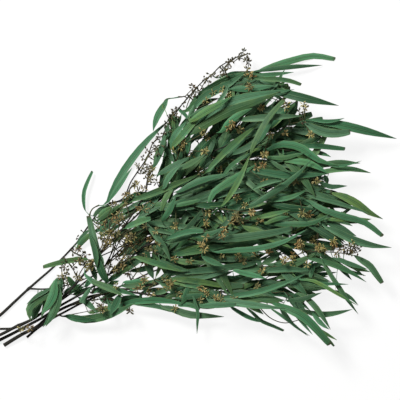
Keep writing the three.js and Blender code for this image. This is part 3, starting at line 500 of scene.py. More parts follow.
grown = []  # one entry for each node of the solids
for limb in branches:
    woods = [layWood(limb["stem"], limb["radius"], limb["sink"])]
    for fork in limb["forks"]:
        parent = nearestWood(woods, fork[0])
        woods.append(layWood(fork, limb["radius"] * growth["forkShare"], limb["sink"], parent))
    grown.append({"node": limb["name"] + "Wood", "woods": woods})
    for index, sprout in enumerate(limb["shoots"]):
        more, twig = sprout["more"], layTwig(sprout["twig"], woods)
        cover(twig["axis"][1:], twig["radii"][1:], twig["radii"][1:])
        leaves = [layLeaf(twig, fillLeaf(twig, k, more), fillBlade) for k in range(more)]
        leaves += [layLeaf(twig, each, placedBlade) for each in sprout["leaves"]]
        umbels = [layUmbel(twig, place) for place in sprout["buds"]]
        node = f"{limb['name']}{'Shoot' if leaves else 'BudSpray'}{index + 1}"
        grown.append({"node": node, "twig": twig, "leaves": leaves, "umbels": umbels, "more": more})
print("branches laid:", len(grown), "pieces, highest", round(float(heightMap.max()), 1), "mm")

# Leaves deeper in the bunch, fine twigs in its open side, and umbels tucked among the leaves
tuck = {
    "triesEach": 110, "leastGap": 4.0, "length": (52, 118), "width": (6.5, 11.5), "swing": (0.1, 0.55),
    "bow": (-0.25, 0.25), "heightShare": (0.1, 0.85), "softReach": 8, "leastCover": 0.5, "leastLength": 42,
    "longestStalk": 32, "shortestStalk": 4, "headroom": 1.5, "overStem": 1.6, "stemReach": 7,
    "umbelBuds": (8, 12), "sparseBuds": (2, 4), "budLength": (6.6, 9.0), "bareReach": 17, "lowShare": 0.45,
    "footShare": (0.05, 0.92), "cutBack": 0.88, "roll": 0.25, "openRoll": 0.15, "openBow": 0.09,
    "bladePlaces": (0, 0.1, 0.35, 0.6, 0.82, 1), "openPlaces": (0, 0.33, 0.66, 1),
    "gapShares": (0.15, 0.92), "gapSpots": 40, "rootBelow": 0.25, "lowest": 1.2, "twigLowest": 1.5,
    "umbelRise": (1.5, 3), "stalkBend": 0.55, "twigLevel": 0.4, "evenings": 3, "seenWidth": 0.45,
    "seenFrom": 0.15, "leastShare": 0.05,
}
bareEdge = way(150, 172, 170, 118, 190, 92, 212, 74, 247, 54)
tuckedUmbels = way(
    229, 95, 222, 90, 206, 101, 213, 93, 247, 69, 250, 74, 253, 77, 250, 86, 261, 108, 285, 108, 286, 104,
    305, 99, 303, 105, 202, 131, 206, 138, 181, 147, 184, 143, 174, 151, 205, 151, 192, 155, 200, 172,
    220, 170, 217, 134, 152, 169, 151, 175, 150, 180, 157, 182, 228, 128, 232, 124, 231, 133, 240, 130,
    245, 126, 270, 135, 285, 133, 310, 135, 264, 155, 262, 165, 264, 182, 257, 160, 256, 168, 295, 182,
    293, 188, 298, 188, 317, 181, 237, 198, 208, 213, 214, 218, 238, 215, 252, 212, 300, 214, 309, 214,
    305, 217, 285, 214, 206, 225, 224, 228, 231, 222, 235, 218, 240, 221, 259, 221, 245, 205, 201, 245,
    204, 249, 206, 237, 222, 237, 197, 256, 200, 265, 190, 261, 222, 256, 238, 256, 243, 261, 255, 255,
    269, 252, 283, 260, 262, 270, 257, 286, 315, 238, 314, 243, 320, 247, 324, 250, 298, 243, 302, 249,
    333, 240, 334, 244, 336, 254, 341, 249, 351, 243, 355, 245, 293, 255, 292, 260, 283, 260, 307, 265,
    182, 295, 200, 287, 204, 290, 207, 294, 200, 300, 221, 298, 234, 298, 216, 298, 135, 185, 144, 188,
    138, 192, 126, 194, 125, 200, 126, 205, 112, 204, 115, 207, 138, 208, 144, 209, 151, 203, 148, 211,
    115, 216, 116, 221, 121, 218, 107, 218, 98, 225, 104, 224, 104, 233, 112, 234, 117, 233, 101, 237,
    109, 239, 123, 246, 128, 249, 134, 250, 139, 243, 149, 248, 154, 250, 158, 243, 156, 231, 163, 227,
    162, 236, 170, 235, 175, 226, 117, 257, 108, 266, 123, 266, 127, 273, 114, 270, 80, 260, 83, 263,
    88, 267, 139, 283, 144, 281, 136, 289, 148, 292, 151, 295, 141, 287, 170, 285, 175, 290, 167, 287,
    177, 293, 172, 282, 116, 286, 61, 276, 66, 281, 69, 285, 102, 310, 100, 307, 175, 309, 147, 254,
    131, 244, 127, 239, 120, 240, 150, 240, 146, 226, 165, 259, 174, 259, 160, 290, 165, 279, 152, 285,
    134, 236, 146, 231, 140, 227, 129, 240, 157, 224, 124, 258, 313, 240, 318, 246, 323, 249, 300, 243,
    91, 262, 93, 267, 95, 273, 76, 276, 80, 279, 113, 247, 108, 243, 122, 252, 111, 232, 105, 228,
)
tuckedSprigs = way(
    247, 54, 246, 59, 238, 56, 232, 60, 230, 64, 227, 69, 223, 70, 225, 75, 210, 74, 213, 76, 204, 78,
    207, 80, 193, 86, 199, 90, 204, 88, 196, 92, 189, 95, 191, 97, 174, 111, 171, 121, 170, 127, 159, 136,
    160, 140, 157, 149, 65, 268, 68, 272, 73, 266, 81, 255, 84, 254, 95, 301, 100, 307, 130, 312, 128, 273,
    347, 250, 350, 249, 357, 252, 303, 122, 154, 160, 148, 164, 104, 247, 111, 240, 130, 258, 119, 262,
    63, 268, 68, 272, 72, 267, 79, 249, 76, 238, 81, 231, 86, 255, 94, 302, 130, 311, 220, 74, 209, 83,
    194, 93, 183, 104, 178, 108, 176, 116, 168, 132, 164, 133, 161, 145, 158, 152, 152, 165, 149, 171,
    146, 178, 151, 168, 121, 226, 131, 236, 344, 244, 348, 246, 352, 248, 356, 250, 346, 253, 351, 255,
    358, 247, 142, 158, 150, 156, 146, 150, 154, 144, 299, 112, 302, 115, 86, 262, 78, 262, 72, 252,
    66, 262, 107, 247, 103, 240, 126, 243,
)
# Width in mm, how high it lies (1 is on top), and its two ends
openLeaves = [
    (8, 0.9, 94, 222, 122, 203), (8, 0.4, 109, 277, 140, 263), (9, 0.3, 150, 262, 172, 246),
    (8, 0.5, 120, 284, 150, 277), (8, 0.5, 145, 287, 172, 275), (7, 0.5, 146, 268, 168, 258),
    (10, 0.7, 67, 277, 79, 292), (8, 0.8, 61, 278, 58, 298), (10, 0.6, 76, 296, 97, 314),
    (12, 1, 120, 294, 110, 315), (12, 0.4, 90, 290, 118, 294), (8, 0.4, 70, 296, 90, 287),
    (12, 0.3, 112, 302, 142, 299), (5, 0.5, 139, 298, 148, 289), (9, 0.4, 100, 300, 120, 305),
    (9, 0.4, 88, 313, 120, 310), (9, 0.9, 204, 96, 181, 114), (8, 0.9, 194, 106, 187, 119),
    (11, 0.4, 186, 123, 210, 108), (9, 0.5, 181, 115, 163, 143), (7, 0.7, 190, 136, 187, 158),
    (10, 0.4, 212, 128, 210, 150), (9, 0.4, 208, 154, 226, 143), (9, 0.6, 188, 160, 208, 154),
    (10, 0.7, 178, 170, 200, 161), (9, 0.3, 168, 158, 186, 156), (9, 0.6, 181, 170, 168, 183),
    (8, 0.4, 180, 176, 200, 172), (9, 0.5, 196, 140, 209, 126), (9, 0.4, 170, 150, 156, 178),
    (9, 0.4, 170, 218, 196, 208), (8, 0.4, 176, 224, 198, 214), (9, 0.4, 196, 238, 222, 214),
    (8, 0.3, 200, 230, 226, 222), (8, 0.5, 204, 244, 228, 228), (8, 0.4, 232, 252, 262, 256),
    (9, 0.5, 236, 262, 268, 252), (9, 0.4, 222, 282, 250, 274), (8, 0.5, 232, 268, 262, 278),
    (10, 0.5, 186, 303, 228, 303), (8, 0.4, 150, 294, 182, 298), (7, 1, 214, 107, 229, 84),
    (6, 1, 177, 108, 188, 119), (7, 1, 222, 175, 250, 153), (8, 1, 250, 190, 282, 181),
    (7, 1, 264, 223, 290, 216), (7, 1, 268, 160, 289, 173), (9, 1, 233, 271, 267, 279),
    (7, 0.8, 209, 279, 234, 271), (8, 0.5, 324, 175, 328, 184), (7, 0.6, 310, 152, 331, 157),
    (8, 0.8, 315, 262, 310, 281), (10, 0.5, 108, 274, 138, 258), (10, 0.5, 172, 204, 204, 190),
    (9, 0.4, 174, 208, 206, 197), (10, 0.5, 204, 216, 232, 192), (9, 0.4, 208, 206, 236, 198),
    (10, 0.5, 174, 248, 202, 234), (10, 0.5, 188, 234, 214, 214), (8, 0.4, 178, 268, 204, 264),
    (9, 0.5, 176, 292, 212, 298), (9, 0.4, 180, 300, 214, 290), (9, 0.5, 216, 278, 252, 282),
    (8, 0.5, 218, 286, 248, 276), (10, 0.3, 140, 300, 186, 306), (8, 0.4, 192, 158, 206, 134),
    (9, 0.4, 244, 118, 260, 106), (9, 0.5, 194, 112, 218, 98), (9, 0.5, 168, 150, 180, 118),
    (9, 0.4, 178, 130, 192, 112), (10, 0.8, 312, 168, 360, 163), (12, 0.8, 322, 220, 356, 236),
    (8, 0.6, 306, 290, 332, 282), (5, 0.5, 276, 304, 310, 336), (5, 0.4, 282, 306, 296, 326),
    (6, 0.5, 338, 256, 364, 276), (7, 0.5, 334, 262, 352, 280), (6, 0.9, 74, 246, 92, 228),
    (10, 1, 123, 229, 151, 218), (7, 1, 92, 286, 80, 303), (9, 0.2, 106, 276, 136, 262),
    (8, 0.2, 118, 268, 146, 256), (8, 0.3, 128, 262, 156, 246), (8, 0.3, 96, 224, 128, 207),
    (7, 0.3, 120, 240, 150, 226), (8, 0.3, 134, 246, 162, 232), (9, 0.3, 138, 222, 164, 208),
    (8, 0.4, 146, 236, 172, 222), (7, 0.4, 98, 234, 118, 220), (9, 0.2, 130, 272, 160, 262),
    (11, 1, 128, 203, 199, 175), (10, 1, 173, 193, 230, 174), (7, 1, 170, 206, 202, 199),
    (11, 1, 205, 174, 233, 146), (12, 0.9, 165, 141, 153, 167), (9, 0.3, 130, 236, 158, 222),
    (9, 0.3, 132, 256, 160, 240), (11, 1, 173, 150, 208, 110), (11, 1, 189, 121, 232, 97),
    (10, 1, 217, 134, 253, 108), (10, 1, 204, 174, 260, 123), (9, 1, 250, 156, 284, 100),
    (7, 1, 187, 156, 191, 138), (9, 1, 172, 172, 206, 154), (9, 0.8, 184, 112, 216, 87),
    (14, 1, 60, 284, 46, 326), (13, 0.9, 41, 299, 32, 320), (11, 0.9, 37, 300, 36, 319),
    (11, 1, 104, 268, 90, 220), (14, 0.9, 306, 125, 346, 131), (9, 1, 164, 243, 198, 235),
    (9, 1, 188, 237, 222, 228), (9, 1, 161, 191, 181, 165), (10, 1, 163, 221, 176, 196),
    (9, 0.3, 128, 250, 156, 232), (9, 0.3, 130, 256, 158, 244), (8, 0.3, 132, 238, 150, 226),
    (8, 0.3, 118, 256, 146, 238), (7, 0.3, 110, 246, 132, 228), (8, 0.3, 138, 262, 164, 254),
    (7, 0.3, 100, 238, 124, 222), (7, 0.3, 104, 228, 128, 214), (7, 0.3, 136, 210, 160, 198),
    (7, 0.3, 112, 214, 132, 202), (7, 0.3, 92, 232, 112, 222), (9, 0.9, 163, 104, 153, 130),
    (10, 1, 200, 305, 236, 304), (8, 0.9, 132, 304, 172, 311), (12, 1, 62, 316, 96, 320),
    (8, 0.9, 330, 168, 371, 173), (9, 0.9, 322, 218, 352, 226), (8, 0.9, 340, 221, 371, 219),
    (5, 0.6, 338, 262, 365, 281), (5, 0.6, 342, 270, 366, 276), (6, 0.8, 335, 290, 358, 305),
    (8, 0.8, 312, 312, 329, 329), (5, 0.6, 318, 328, 337, 340), (5, 0.6, 318, 330, 334, 346),
    (8, 0.9, 178, 305, 200, 309), (12, 1, 107, 283, 97, 252), (10, 1, 92, 282, 124, 296),
    (9, 0.5, 98, 298, 118, 303), (9, 0.3, 122, 216, 142, 205), (8, 0.3, 92, 216, 112, 205),
    (8, 0.4, 138, 286, 164, 282), (8, 0.3, 140, 292, 166, 288), (9, 1, 164, 240, 204, 231),
    (14, 1, 57, 280, 42, 314), (16, 0.5, 46, 292, 30, 317), (10, 0.3, 60, 294, 84, 287),
    (7, 0.9, 229, 304, 268, 323), (9, 1, 248, 204, 311, 160), (9, 0.9, 338, 257, 370, 272),
    (14, 0.2, 126, 256, 154, 234), (14, 0.2, 122, 246, 146, 228), (14, 0.2, 112, 272, 142, 255),
    (12, 0.2, 98, 228, 126, 212), (12, 0.3, 132, 246, 158, 226), (11, 0.3, 120, 204, 148, 192),
    (9, 0.5, 97, 283, 89, 259), (9, 0.4, 107, 282, 125, 271), (8, 0.5, 62, 292, 80, 284),
    (7, 0.6, 84, 262, 72, 258), (9, 0.9, 241, 268, 262, 270), (8, 1, 108, 203, 132, 168),
    (8, 0.9, 95, 219, 113, 206), (8, 0.5, 123, 213, 150, 199), (7, 0.4, 122, 222, 142, 208),
    (8, 0.5, 130, 268, 145, 259), (8, 0.7, 118, 287, 147, 281), (8, 0.7, 138, 290, 161, 284),
    (8, 0.7, 151, 295, 171, 290), (7, 0.6, 126, 292, 144, 288), (7, 0.6, 106, 286, 119, 281),
    (8, 0.5, 103, 297, 120, 292), (8, 0.5, 88, 294, 101, 287), (8, 0.5, 85, 287, 94, 279),
    (9, 0.9, 76, 248, 92, 233), (9, 1, 98, 269, 89, 232), (8, 0.3, 112, 236, 130, 224),
    (8, 0.3, 130, 242, 152, 229), (7, 0.3, 134, 249, 156, 238),
]
fineTwigs = [
    way(101, 252, 114, 240, 129, 229, 138, 226), way(106, 266, 115, 245, 118, 229, 128, 216),
    way(108, 271, 125, 255, 140, 239, 155, 228), way(129, 281, 141, 266, 150, 253),
    way(58, 277, 62, 266, 65, 258), way(73, 279, 83, 268, 90, 260), way(69, 263, 73, 270, 77, 277),
    way(145, 160, 149, 152, 152, 144, 159, 136), way(149, 154, 154, 151, 158, 149),
    way(104, 232, 110, 222, 120, 211), way(122, 262, 133, 252, 147, 236), way(95, 262, 104, 250, 108, 236),
    way(160, 300, 178, 296, 196, 290), way(300, 250, 320, 248, 345, 250),
    way(99, 251, 116, 239, 131, 230, 146, 222), way(101, 262, 118, 248, 140, 232, 160, 218),
    way(104, 268, 124, 252, 146, 238), way(108, 274, 130, 260, 152, 250),
    way(96, 240, 112, 228, 128, 216, 140, 208), way(100, 246, 110, 236, 116, 224, 118, 212),
    way(103, 255, 107, 240, 110, 226, 124, 204), way(120, 262, 124, 248, 126, 236),
    way(112, 268, 126, 262, 142, 256, 158, 252), way(104, 258, 112, 250, 116, 236),
    way(130, 204, 136, 196, 140, 186), way(122, 212, 126, 200, 128, 192, 135, 184),
    way(150, 240, 156, 228, 164, 216), way(108, 272, 118, 266, 124, 256, 130, 240),
    way(78, 300, 96, 296, 120, 290), way(62, 308, 84, 302, 112, 298), way(247, 54, 240, 57, 233, 62),
    way(236, 59, 226, 66, 222, 76), way(216, 73, 206, 80, 200, 90), way(196, 88, 190, 98, 186, 108),
    way(178, 106, 170, 118, 168, 128), way(182, 98, 173, 98, 166, 99, 162, 105),
    way(255, 298, 262, 310, 272, 319, 285, 323, 298, 320), way(92, 262, 110, 246, 124, 236, 134, 224),
    way(104, 272, 114, 252, 122, 236, 134, 216), way(140, 172, 146, 160, 152, 150, 158, 146),
    way(96, 258, 104, 240, 106, 222, 112, 206),
]
# Round the open parts of the bunch, where bare stems or buds show and no leaf is tucked in
bareAreas = [
    way(40, 330, 60, 262, 96, 214, 140, 185, 166, 140, 166, 165, 146, 200, 130, 232, 118, 262, 122, 278,
        142, 290, 125, 302),
    way(282, 247, 300, 240, 322, 236, 345, 248, 340, 258, 316, 255, 306, 267, 286, 266),
    way(270, 296, 290, 286, 318, 289, 322, 300, 300, 312, 285, 300),
    way(183, 109, 192, 99, 206, 97, 226, 93, 262, 88, 262, 92, 228, 98, 206, 104, 192, 107),
    way(298, 108, 325, 112, 325, 122, 304, 121),
    way(328, 202, 350, 206, 350, 212, 330, 210),
    way(326, 264, 356, 268, 352, 284, 330, 280),
]
tucked = random.Random(8112)


def softened(values):
    spread = np.ones(2 * tuck["softReach"] + 1)
    for side in (0, 1):
        values = np.apply_along_axis(np.convolve, side, values, spread, "same")
    return values / len(spread) ** 2


covered = softened((heightMap > 0).astype(float))
meanHeight = softened(heightMap) / np.maximum(covered, tuck["leastShare"])


# Where leaves already cover the table from above, so that tucked ones fill gaps, and how high the stems reach
seen = np.zeros_like(heightMap)
stemTops = np.zeros_like(heightMap)


def mark(stations, reaches):
    for i in range(1, len(stations)):
        for _, patch, inside in cellsAlong(
            stations[i - 1], stations[i], max(1, reaches[i - 1]), max(1, reaches[i]), seen, 0
        ):
            patch[inside] = 1


def bladeReaches(stations, width):
    shares = [routeLength(stations[: i + 1]) / routeLength(stations) for i in range(len(stations))]
    first = tuck["seenFrom"]
    spots = [min(1, first + (1 - first) * share) for share in shares]
    return [tuck["seenWidth"] * width * math.sin(math.pi * spot) for spot in spots]


# Length along the blade that lies over a gap
def gapUnder(places):
    first, last = tuck["gapShares"]
    whole = routeLength(places)
    spots = [along(places, whole * share) for share in np.linspace(first, last, tuck["gapSpots"])]
    return (last - first) * whole * sum(atPlace(seen, spot) == 0 for spot in spots) / len(spots)


def atPlace(values, place):
    column, row = (round(value / growth["cellSize"]) + mapHalf for value in place[:2])
    return float(values[column, row])


def tuckedHeight(place, level):
    onStem = atPlace(stemTops, place)
    over = onStem + tuck["overStem"] if onStem > 0 else 0
    return max(tuck["lowest"], level * atPlace(meanHeight, place), over)


def evened(heights):
    for _ in range(tuck["evenings"]):
        for i in range(1, len(heights) - 1):
            heights[i] = (heights[i - 1] + 2 * heights[i] + heights[i + 1]) / 4
    return heights


def isOutside(places):
    if any(isInside(place, area) for area in bareAreas for place in places[1:]):
        return True
    isBare = min(atPlace(covered, place) for place in places) < tuck["leastCover"]
    return isBare or not isInside(places[-1], rim)


def tuckedLeaf(twig):
    foot, heading = headingAt(twig, routeLength(twig["axis"]) * tucked.uniform(*tuck["footShare"]))
    angle = heading + tucked.choice((-1, 1)) * tucked.uniform(*tuck["swing"])
    bow, length = tucked.uniform(*tuck["bow"]), tucked.uniform(*tuck["length"])
    level, width = tucked.uniform(*tuck["heightShare"]), tucked.uniform(*tuck["width"])
    places = bladeFrom(foot, angle, bow, length, tuck["bladePlaces"])
    while isOutside(places):
        length *= tuck["cutBack"]
        if length < tuck["leastLength"]:
            return None
        places = bladeFrom(foot, angle, bow, length, tuck["bladePlaces"])
    if gapUnder(places) < tuck["leastGap"]:
        return None
    heights = evened([foot[2], *[tuckedHeight(place, level) for place in places[1:]]])
    axis = [(*place, height) for place, height in zip(places, heights)]
    return looseLeaf(axis, width, tuck["roll"], True)


def looseLeaf(axis, width, mostRoll, isLow):
    mark(axis, bladeReaches(axis, width))
    isCut = tucked.random() < fillRanges["cutShare"]
    roll = tucked.uniform(-mostRoll, mostRoll)
    return {"axis": axis, "collar": 1, "roll": roll, "width": width, "cut": isCut, "low": isLow}


def runsOf(entry):
    return [entry["twig"]] if "twig" in entry else entry["woods"]


def nearestRun(place):
    top = atPlace(heightMap, place)
    options = []
    for entry in grown:
        for run in runsOf(entry):
            off, distance = nearest(run["axis"], place)
            root = along(run["axis"], min(distance, routeLength(run["axis"]) - 1))
            options.append((off + tuck["rootBelow"] * abs(root[2] - top), off, root, entry))
    return min(options, key=lambda option: option[0])


def openLeaf(width, level, *ends):
    start, end = way(*ends)
    _, off, root, entry = nearestRun(start)
    if off < tuck["shortestStalk"]:
        start = along([start, end], tuck["shortestStalk"])
    bow = tucked.uniform(-tuck["openBow"], tuck["openBow"])
    x, y = end[0] - start[0], end[1] - start[1]
    plan = [root[:2]]
    for share in tuck["openPlaces"]:
        aside = bow * math.sin(math.pi * share)
        plan.append((start[0] + x * share - y * aside, start[1] + y * share + x * aside))
    if level == 1:
        halfWidths = [growth["petioleRoot"], *[share * width / 2 for share in fillBlade["widths"]]]
        axis = settle(plan, halfWidths, [0] * len(plan), leafBend, [root[2]])
        cover(axis, halfWidths, [growth["midribHeight"]] * len(plan))
    else:
        heights = [max(tuck["lowest"], level * atPlace(meanHeight, place)) for place in plan[1:]]
        axis = [(*place, height) for place, height in zip(plan, evened([root[2], *heights]))]
    entry["openLeaves"].append(looseLeaf(axis, width, tuck["openRoll"], level < tuck["lowShare"]))


def tuckUmbel(centre, isSparse):
    _, off, root, entry = nearestRun(centre)
    if off > tuck["longestStalk"]:
        return
    height = max(atPlace(heightMap, centre), root[2]) + tucked.uniform(*tuck["umbelRise"])
    head = (*centre, min(height, cadHigh[2] / milli - tuck["headroom"]))
    axis = [root, between(root, head, tuck["stalkBend"]), head]
    entry["tuckedUmbels"].append({"axis": axis, "buds": [], "sparse": isSparse})


for entry in grown:
    entry["tuckedLeaves"], entry["openLeaves"], entry["tuckedUmbels"], entry["fineTwigs"] = [], [], [], []
    for run in runsOf(entry):
        cover(run["axis"], [radius + tuck["stemReach"] for radius in run["radii"]], run["radii"], stemTops)
    for each in entry.get("leaves", []):
        mark(each["axis"], bladeReaches(each["axis"], each["width"]))
    for umbel in entry.get("umbels", []):
        umbel["sparse"] = nearest(bareEdge, umbel["axis"][2])[0] < tuck["bareReach"]
for each in openLeaves:
    openLeaf(*each)
for entry in grown:
    if entry.get("leaves"):
        found = [tuckedLeaf(entry["twig"]) for _ in range(tuck["triesEach"])]
        entry["tuckedLeaves"] = [each for each in found if each]
for first, *plan in fineTwigs:
    _, _, root, entry = nearestRun(first)
    share = tuck["twigLevel"]
    levels = [(1 - share) * root[2] + share * atPlace(meanHeight, place) for place in plan]
    heights = [max(tuck["twigLowest"], level) for level in levels]
    entry["fineTwigs"].append([root, *[(*place, height) for place, height in zip(plan, heights)]])
for places, isSparse in ((tuckedUmbels, False), (tuckedSprigs, True)):
    for place in places:
        tuckUmbel(place, isSparse)
for kind in ("tuckedLeaves", "openLeaves", "tuckedUmbels"):
    print(kind + ":", sum(len(entry[kind]) for entry in grown))


# Shader sums read as plain maths: a Wire holds one output of a material's nodes
class Wire:
    def __init__(self, finish, socket):
        self.finish = finish
        self.socket = socket

    def maths(self, operation, first, second=0.0):
        return self.finish.node("ShaderNodeMath", {"operation": operation}, {0: first, 1: second})

    def __add__(self, other):
        return self.maths("ADD", self, other)

    def __sub__(self, other):
        return self.maths("SUBTRACT", self, other)

    def __mul__(self, other):
        return self.maths("MULTIPLY", self, other)

    def __rsub__(self, other):
        return self.maths("SUBTRACT", other, self)

    __radd__ = __add__
    __rmul__ = __mul__

    def clipped(self, low, high):
        settings = {"interpolation_type": "SMOOTHSTEP"}
        return self.finish.node("ShaderNodeMapRange", settings, {0: self, 1: low, 2: high, 3: 0.0, 4: 1.0})

    def parts(self, kind):
        split = self.finish.node(kind, {}, {0: self})
        return [Wire(self.finish, output) for output in split.socket.node.outputs]


class Finish:
    def __init__(self, name):
        self.material = bpy.data.materials.new(name)
        self.material.use_nodes = True
        self.tree = self.material.node_tree
        self.shader = self.tree.nodes["Principled BSDF"]

    def node(self, kind, settings, values, output=0):
        made = self.tree.nodes.new(kind)
        for name, value in settings.items():
            setattr(made, name, value)
        for name, value in values.items():
            self.plug(made.inputs[name], value)
        return Wire(self, made.outputs[output])

    def plug(self, socket, value):
        if isinstance(value, Wire):
            self.tree.links.new(value.socket, socket)
        else:
            socket.default_value = value

    def place(self):
        return self.node("ShaderNodeTexCoord", {}, {}, "Object")

    def chart(self):
        return self.node("ShaderNodeUVMap", {"uv_map": "UVMap"}, {})

    # Lightness, yellow or pale, and dull or rust: how one leaf or bud differs from the next; a leaf's
    # lightness also carries painted shade for leaves hidden low in the bunch, and its dullness also sets the
    # painted shade on one half of its blade
    def tones(self):
        tone = self.node("ShaderNodeAttribute", {"attribute_name": "tone"}, {}, "Color")
        return tone.parts("ShaderNodeSeparateColor")

    def vector(self, operation, first, second):
        return self.node("ShaderNodeVectorMath", {"operation": operation}, {0: first, 1: second})

    def noise(self, where, scale, detail=3.0, roughness=0.55):
        values = {"Vector": where, "Scale": scale, "Detail": detail, "Roughness": roughness}
        return self.node("ShaderNodeTexNoise", {}, values)

    def mix(self, share, first, second):
        return self.node("ShaderNodeMix", {"data_type": "RGBA"}, {0: share, 6: first, 7: second}, 2)

    def layered(self, mixed, look, *layers):
        for share, colour in layers:
            mixed = self.mix(share, mixed, look[colour])
        return mixed

    def set(self, **values):
        for name, value in values.items():
            self.plug(self.shader.inputs[name.replace("_", " ")], value)

    def bump(self, height, distance):
        self.set(Normal=self.node("ShaderNodeBump", {}, {"Height": height, "Distance": distance}, "Normal"))


def tint(red, green, blue):
    def linear(value):
        value /= 255
        return value / 12.92 if value <= 0.04045 else ((value + 0.055) / 1.055) ** 2.4

    return (linear(red), linear(green), linear(blue), 1.0)


# Leaf: dull green blade with a paler midrib, side veins, olive patches and dry margins, with painted shade in
# the crease beside the midrib and on one half of the blade, and a painted highlight along the margins
leafLook = {
    "deep": tint(17, 50, 28), "fresh": tint(62, 116, 80), "olive": tint(104, 130, 62),
    "grey": tint(78, 108, 82), "rib": tint(122, 160, 106), "dry": tint(130, 112, 66), "tip": tint(56, 48, 30),
    "roughness": 0.5, "gloss": 0.18, "veins": 46.0, "veinHeight": 0.00022,
    "streaks": (3.0, 26.0, 1.0), "streakPatches": (9.0, 9.0, 9.0),
}


def leafFinish():
    finish = Finish("LeafSkin")
    where, chart = finish.place(), finish.chart()
    alongBlade, acrossBlade, _ = chart.parts("ShaderNodeSeparateXYZ")
    light, yellow, dullAndHalfShade = finish.tones()
    offRib = acrossBlade.maths("ABSOLUTE", acrossBlade - 0.5) * 2.0
    patches = finish.noise(where, 38.0)
    fine = finish.noise(where, 420.0, 2.0)
    rib = 1.0 - offRib.clipped(0.03, 0.14)
    veinPlace = alongBlade * leafLook["veins"] - offRib * 5.0 + patches * 1.6
    vein = veinPlace.maths("PINGPONG", veinPlace, 0.5).clipped(0.3, 0.5)
    margin = offRib.clipped(0.86, 0.99)
    shift = finish.vector("MULTIPLY", where, leafLook["streakPatches"])
    streakPlace = finish.vector("ADD", finish.vector("MULTIPLY", chart, leafLook["streaks"]), shift)
    streak = finish.noise(streakPlace, 1.0, 2.0)
    mixed = finish.layered(
        finish.mix(light, leafLook["deep"], leafLook["fresh"]), leafLook,
        (yellow * patches.clipped(0.25, 0.75), "olive"),
        (dullAndHalfShade * 0.8, "grey"),
        (patches.clipped(0.42, 0.72) * 0.28, "deep"),
        (streak.clipped(0.52, 0.75) * 0.16, "rib"),
        ((1.0 - streak.clipped(0.32, 0.5)) * 0.3, "deep"),
        (vein * 0.07, "rib"),
        # painted shade: a darker band in the crease on each side of the midrib
        (offRib.clipped(0.02, 0.1) * (1.0 - offRib.clipped(0.1, 0.34)) * 0.65, "deep"),
        # painted shade: one half of the blade darker, as if tilted away from the light, by the leaf's
        # dullness
        (acrossBlade.clipped(0.46, 0.54) * dullAndHalfShade * 0.5, "deep"),
        (rib * 0.14, "rib"),
        # painted highlight: a paler band along both edges of the blade
        (margin * 0.3, "rib"),
        (margin * fine.clipped(0.45, 0.7) * 0.5, "dry"),
        (alongBlade.clipped(0.955, 1.0) * (0.45 + patches.clipped(0.35, 0.6) * 0.4), "tip"),
        (fine.clipped(0.66, 0.78) * 0.35, "deep"),
    )
    finish.set(Base_Color=mixed, Roughness=leafLook["roughness"] + fine * 0.16 - rib * 0.08)
    finish.set(Specular_IOR_Level=leafLook["gloss"])
    finish.bump(rib * 0.9 + vein * 0.25 + fine * 0.18 + patches * 0.3, leafLook["veinHeight"])
    return finish.material


# Bark: grey brown, streaked along the stem and flecked
barkLook = {
    "dark": tint(18, 18, 15), "brown": tint(40, 39, 33), "pale": tint(94, 91, 78), "grain": 0.0004,
    "streaks": (6.0, 9.0, 1.0),
}


def barkFinish():
    finish = Finish("DryBark")
    where = finish.place()
    streak = finish.noise(finish.vector("MULTIPLY", finish.chart(), barkLook["streaks"]), 3.0, 4.0, 0.65)
    fleck = finish.noise(where, 700.0, 2.0)
    mixed = finish.layered(
        finish.mix(streak.clipped(0.3, 0.7), barkLook["dark"], barkLook["brown"]), barkLook,
        (finish.noise(where, 60.0).clipped(0.5, 0.75) * 0.6, "brown"),
        (fleck.clipped(0.62, 0.74) * 0.6, "pale"),
    )
    finish.set(Base_Color=mixed, Roughness=0.78 + fleck * 0.2, Specular_IOR_Level=0.2)
    finish.bump(streak * 0.7 + fleck * 0.4, barkLook["grain"])
    return finish.material


# Cut end: pale sapwood and darker pith, with a fine grain
woodLook = {"sap": tint(196, 172, 132), "pith": tint(112, 84, 58), "grain": 0.0003}


def cutFinish():
    finish = Finish("CutWood")
    grain = finish.noise(finish.place(), 900.0, 4.0)
    mixed = finish.mix(grain.clipped(0.35, 0.7), woodLook["sap"], woodLook["pith"])
    finish.set(Base_Color=mixed, Roughness=0.85)
    finish.bump(grain, woodLook["grain"])
    return finish.material


# Bud: ochre, olive and rust, darker at the seam of its cap, dry brown at the point
budLook = {
    "ochre": tint(138, 128, 58), "olive": tint(74, 90, 42), "rust": tint(150, 96, 46),
    "brown": tint(26, 25, 13), "straw": tint(204, 192, 132), "grain": 0.00025,
}


def budFinish():
    finish = Finish("DryBud")
    where = finish.place()
    _, height, _ = finish.chart().parts("ShaderNodeSeparateXYZ")
    dark, pale, rust = finish.tones()
    patches = finish.noise(where, 160.0)
    fine = finish.noise(where, 900.0, 2.0)
    seamRing = height.clipped(0.6, 0.66) * (1.0 - height.clipped(0.66, 0.74))
    mixed = finish.layered(
        finish.mix(patches.clipped(0.35, 0.65), budLook["olive"], budLook["ochre"]), budLook,
        (rust * 0.7, "rust"),
        (pale.clipped(0.35, 0.9) * 0.6, "straw"),
        (fine.clipped(0.5, 0.75) * 0.4, "straw"),
        ((1.0 - height.clipped(0.22, 0.4)) * 0.5, "straw"),
        (seamRing * 0.8, "brown"),
        (height.clipped(0.86, 1.0) * 0.6, "brown"),
        (dark * 0.9, "brown"),
    )
    finish.set(Base_Color=mixed, Roughness=0.62 + fine * 0.25)
    finish.bump(fine * 0.5 + seamRing * 0.6, budLook["grain"])
    return finish.material


# Twig: thin brown and olive skin with pale flecks
twigLook = {"brown": tint(40, 34, 24), "olive": tint(62, 66, 38), "pale": tint(120, 112, 74), "grain": 0.0002}


